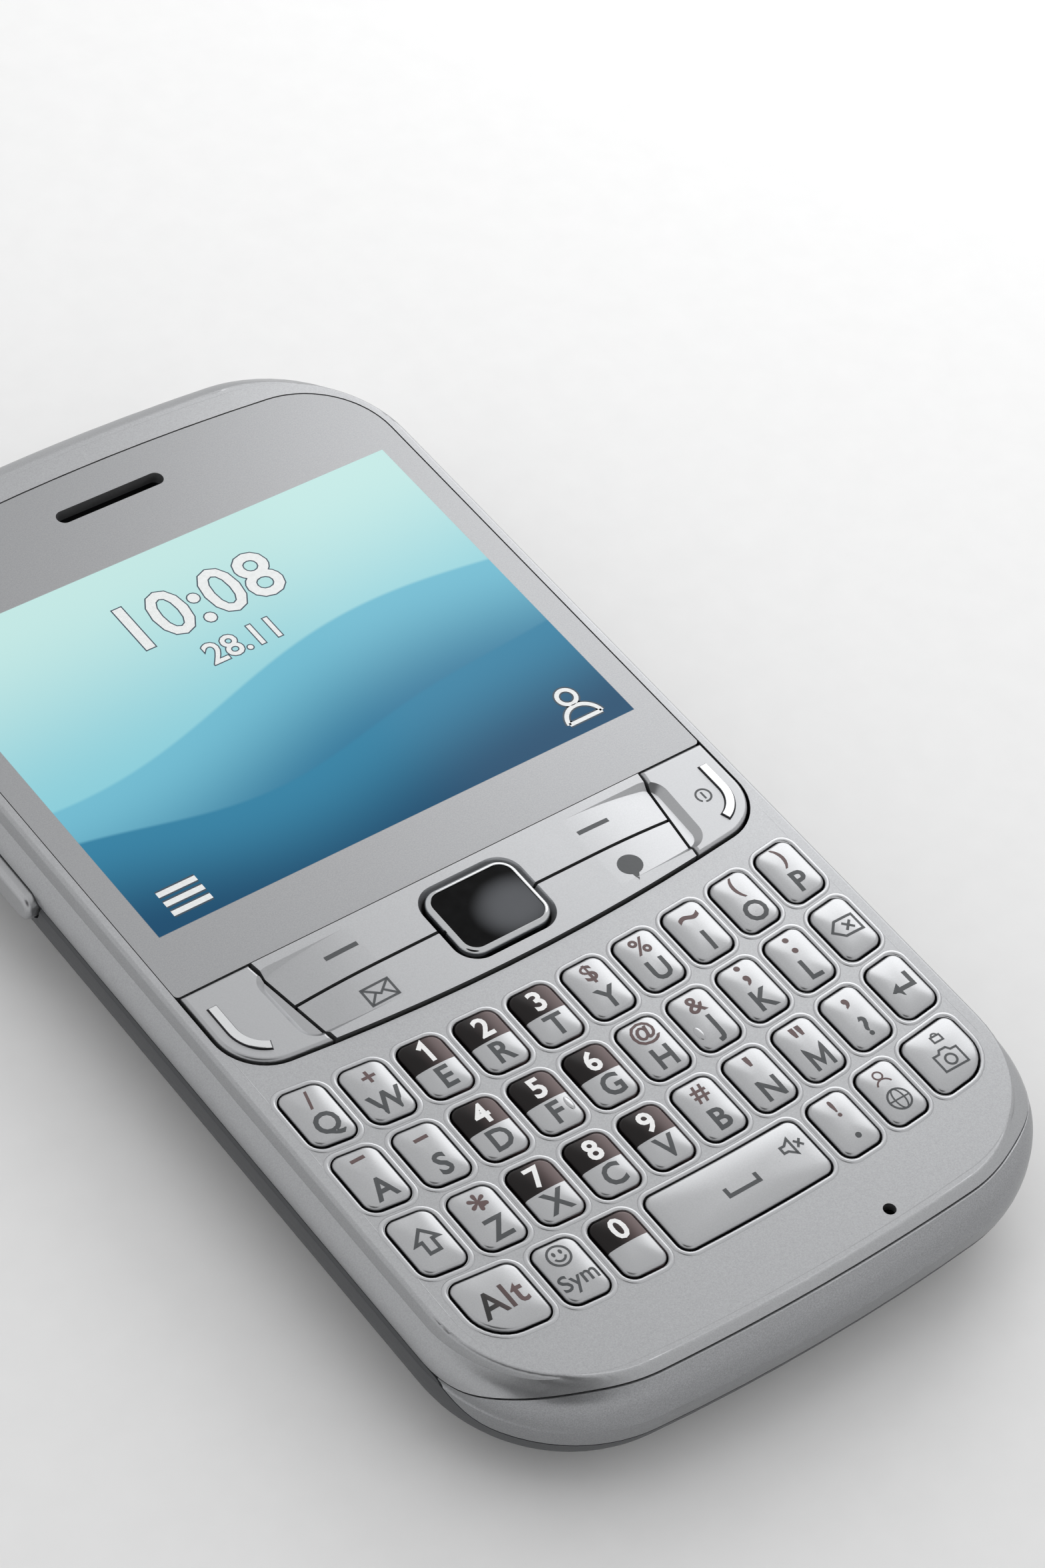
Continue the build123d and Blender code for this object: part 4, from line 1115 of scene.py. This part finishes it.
class PHONE_OT_back(PhoneOperator):
    """Adds the camera's ring and lens to the back."""

    bl_idname = "phone.back"
    bl_label = "Camera lens"

    def turned(self, name, profile, material, slot):
        """A profile of radius and height carried round the axis of the lens."""
        profile = np.asarray(profile, float)
        plan = profile[:, :1, None] * unit_circle(LENS_STEPS) + LENS_PLACE
        points = np.column_stack([plan.reshape(-1, 2), np.repeat(profile[:, 1], LENS_STEPS)])
        faces = ring_faces(len(profile), LENS_STEPS)[:, ::-1]
        new_piece(name, points, faces, [material], "housing")

    def execute(self, context):
        metal = bright_metal("lens_ring_metal", (0.3, 0.3, 0.31), 0.22)
        self.turned("lens_ring", LENS_RING, metal, "steel")
        angle = np.linspace(LENS_EDGE, math.pi / 2, LENS_RINGS)
        # The dome is a quarter of an ellipse turned round the axis: cosine out, sine up
        dome = np.stack([LENS_RADIUS * np.cos(angle), LENS_DEPTH - LENS_BULGE * np.sin(angle)], 1)
        glass = grained(
            "lens_glass", 700.0, 2.0, (0.002, 0.002, 0.006), (0.006, 0.004, 0.01), 0.04, 0.02,
            Specular_IOR_Level=0.15)
        self.turned("lens_glass", dome, glass, "black_module")
        return {"FINISHED"}


class PHONE_OT_inside(PhoneOperator):
    """Finishes the pieces behind the battery cover and the two sockets, and prints the battery's label."""

    bl_idname = "phone.inside"
    bl_label = "Inside"

    def battery_print(self):
        """Words, lines and gold contacts on the battery, mirrored so that they read from behind."""
        low, high = (np.array(corner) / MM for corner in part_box("battery"))
        middle = (low + high) / 2
        shapes = [
            lined([(-15, -21), (15, -21), (15, 18), (-15, 18)], 0.3, closed=True),
            worded("3.7 V", 5.0, 0.02, (0, 8)),
            worded("1000 mAh", 3.0, 0.015, (0, 1)),
            worded("Li-ion", 3.0, 0.015, (0, -5)),
            lined([(-12, -11), (12, -11)], 0.25),
            lined([(-12, -14), (12, -14)], 0.25),
            lined([(-12, -17), (4, -17)], 0.25),
        ]
        pad = fan([(-1.1, 20.2), (1.1, 20.2), (1.1, 23.4), (-1.1, 23.4)])
        shapes += [moved(pad, (place, 0), 1) for place in (-6, -2, 2, 6)]
        points, faces, numbers = gather(shapes)
        level = np.full(len(points), low[2] - self.sizes.mark_lift / MM)
        solid = np.column_stack([middle[0] - points[:, 0], middle[1] + points[:, 1], level])
        gold = bright_metal("contact_gold", (0.8, 0.58, 0.22), 0.25)
        inks = [ink("label_ink", (0.55, 0.56, 0.57)), gold]
        new_piece("battery_print", solid, faces, inks, "battery", smooth=False, numbers=numbers)

    def execute(self, context):
        self.battery_print()
        dress(soft_plastic("battery_wrap", (0.035, 0.036, 0.04), 0.42, 2500.0, 0.006), "battery")
        dress(soft_plastic("lcd_frame", (0.03, 0.03, 0.032), 0.4), "lcd_module")
        dress(soft_plastic("board_green", (0.012, 0.09, 0.05), 0.4, 1800.0, 0.01, 0.3), "main_board")
        dress(bright_metal("dome_metal", (0.55, 0.54, 0.5), 0.3), "keypad_dome_sheet")
        black = soft_plastic("module_black", (0.02, 0.02, 0.021), 0.45)
        dress(black, "earpiece", "loudspeaker", "camera_module", "headphone_jack")
        steel = bright_metal("plain_steel", (0.5, 0.5, 0.5), 0.28, 4000.0)
        dress(steel, "vibration_motor", "sim_holder", "usb_connector", "housing_screws")
        return {"FINISHED"}


class PHONE_OT_stage(PhoneOperator):
    """Sets the pale floor, the soft lights and the camera of the photograph."""

    bl_idname = "phone.stage"
    bl_label = "Stage"

    def floor(self):
        """A wide square of pale paper just under the phone."""
        signs = ((-1, -1), (1, -1), (1, 1), (-1, 1))
        corners = [(x * FLOOR_HALF, y * FLOOR_HALF, -FLOOR_DROP) for x, y in signs]
        paper = grained("floor_paper", 300.0, 2.0, (0.86, 0.86, 0.86), (0.9, 0.9, 0.9), 0.9)
        new_piece("floor", corners, [(0, 1, 2, 3)], [paper], None, smooth=False)

    def flag(self):
        """A black disc behind the camera, whose reflection darkens the corner that faces the camera."""
        centre = np.array(CAMERA_PLACE) * FLAG_BEYOND
        facing = Vector(-centre).to_track_quat("Z", "Y").to_matrix()
        rim, faces = disc((0, 0), FLAG_RADIUS)
        points = np.column_stack([rim, np.zeros(len(rim))]) @ np.array(facing).T + centre
        cloth = grained("flag_cloth", 400.0, 2.0, (0.0, 0.0, 0.0), (0.01, 0.01, 0.01), 1.0)
        piece = new_piece("flag", points, faces, [cloth], None, smooth=False)
        piece.visible_camera = False

    def world(self):
        """Even white light from all sides."""
        world = bpy.data.worlds.new("studio")
        bpy.context.scene.world = world
        world.use_nodes = True
        background = next(node for node in world.node_tree.nodes if node.type == "BACKGROUND")
        background.inputs["Color"].default_value = (1, 1, 1, 1)
        background.inputs["Strength"].default_value = WORLD_STRENGTH

    def lamp(self):
        """A round soft lamp from behind on the right."""
        light = bpy.data.lights.new("key_light", "AREA")
        light.shape = "DISK"
        light.size = LAMP_SIZE * MM
        light.energy = LAMP_POWER
        holder = placed("key_light", light)
        holder.location = Vector(LAMP_PLACE) * MM
        holder.visible_camera = False
        aim = Vector(LAMP_TARGET) - Vector(LAMP_PLACE)
        holder.rotation_euler = aim.to_track_quat("-Z", "Y").to_euler()

    def camera(self):
        """Camera solved from the middles of the keys and the corners of the screen."""
        lens = bpy.data.cameras.new("camera")
        lens.sensor_fit = "HORIZONTAL"
        lens.sensor_width = CAMERA_SENSOR
        lens.lens = CAMERA_LENS
        lens.clip_start = CAMERA_CLIP * MM
        holder = placed("camera", lens)
        place = Matrix((CAMERA_RIGHT, CAMERA_UP, CAMERA_BACK)).transposed().to_4x4()
        place.translation = Vector(CAMERA_PLACE) * MM
        holder.matrix_world = place
        bpy.context.scene.camera = holder

    def execute(self, context):
        self.floor()
        self.world()
        self.lamp()
        self.flag()
        self.camera()
        bpy.context.scene.view_settings.view_transform = "Standard"
        return {"FINISHED"}


class PHONE_PT_panel(bpy.types.Panel):
    """Lists the steps of dressing the phone."""

    bl_idname = "PHONE_PT_panel"
    bl_label = "Phone"
    bl_space_type = "VIEW_3D"
    bl_region_type = "UI"
    bl_category = "Phone"

    def draw(self, context):
        for operator in OPERATORS:
            self.layout.operator(operator.bl_idname)
        for group in (context.scene.phone_sizes, context.scene.phone_colours):
            for name in group.bl_rna.properties.keys():
                if name not in ("rna_type", "name"):
                    self.layout.prop(group, name)


OPERATORS = (
    PHONE_OT_shells, PHONE_OT_window, PHONE_OT_key_caps, PHONE_OT_key_marks, PHONE_OT_key_rims,
    PHONE_OT_strip, PHONE_OT_back, PHONE_OT_inside, PHONE_OT_stage,
)
CLASSES = (PhoneSizes, PhoneColours, *OPERATORS, PHONE_PT_panel)


def register():
    for item in CLASSES:
        bpy.utils.register_class(item)
    bpy.types.Scene.phone_sizes = bpy.props.PointerProperty(type=PhoneSizes)
    bpy.types.Scene.phone_colours = bpy.props.PointerProperty(type=PhoneColours)


def unregister():
    del bpy.types.Scene.phone_sizes
    del bpy.types.Scene.phone_colours
    for item in reversed(CLASSES):
        bpy.utils.unregister_class(item)


def main():
    register()
    for operator in OPERATORS:
        group, name = operator.bl_idname.split(".")
        getattr(getattr(bpy.ops, group), name)()


if __name__ == "__main__":
    main()
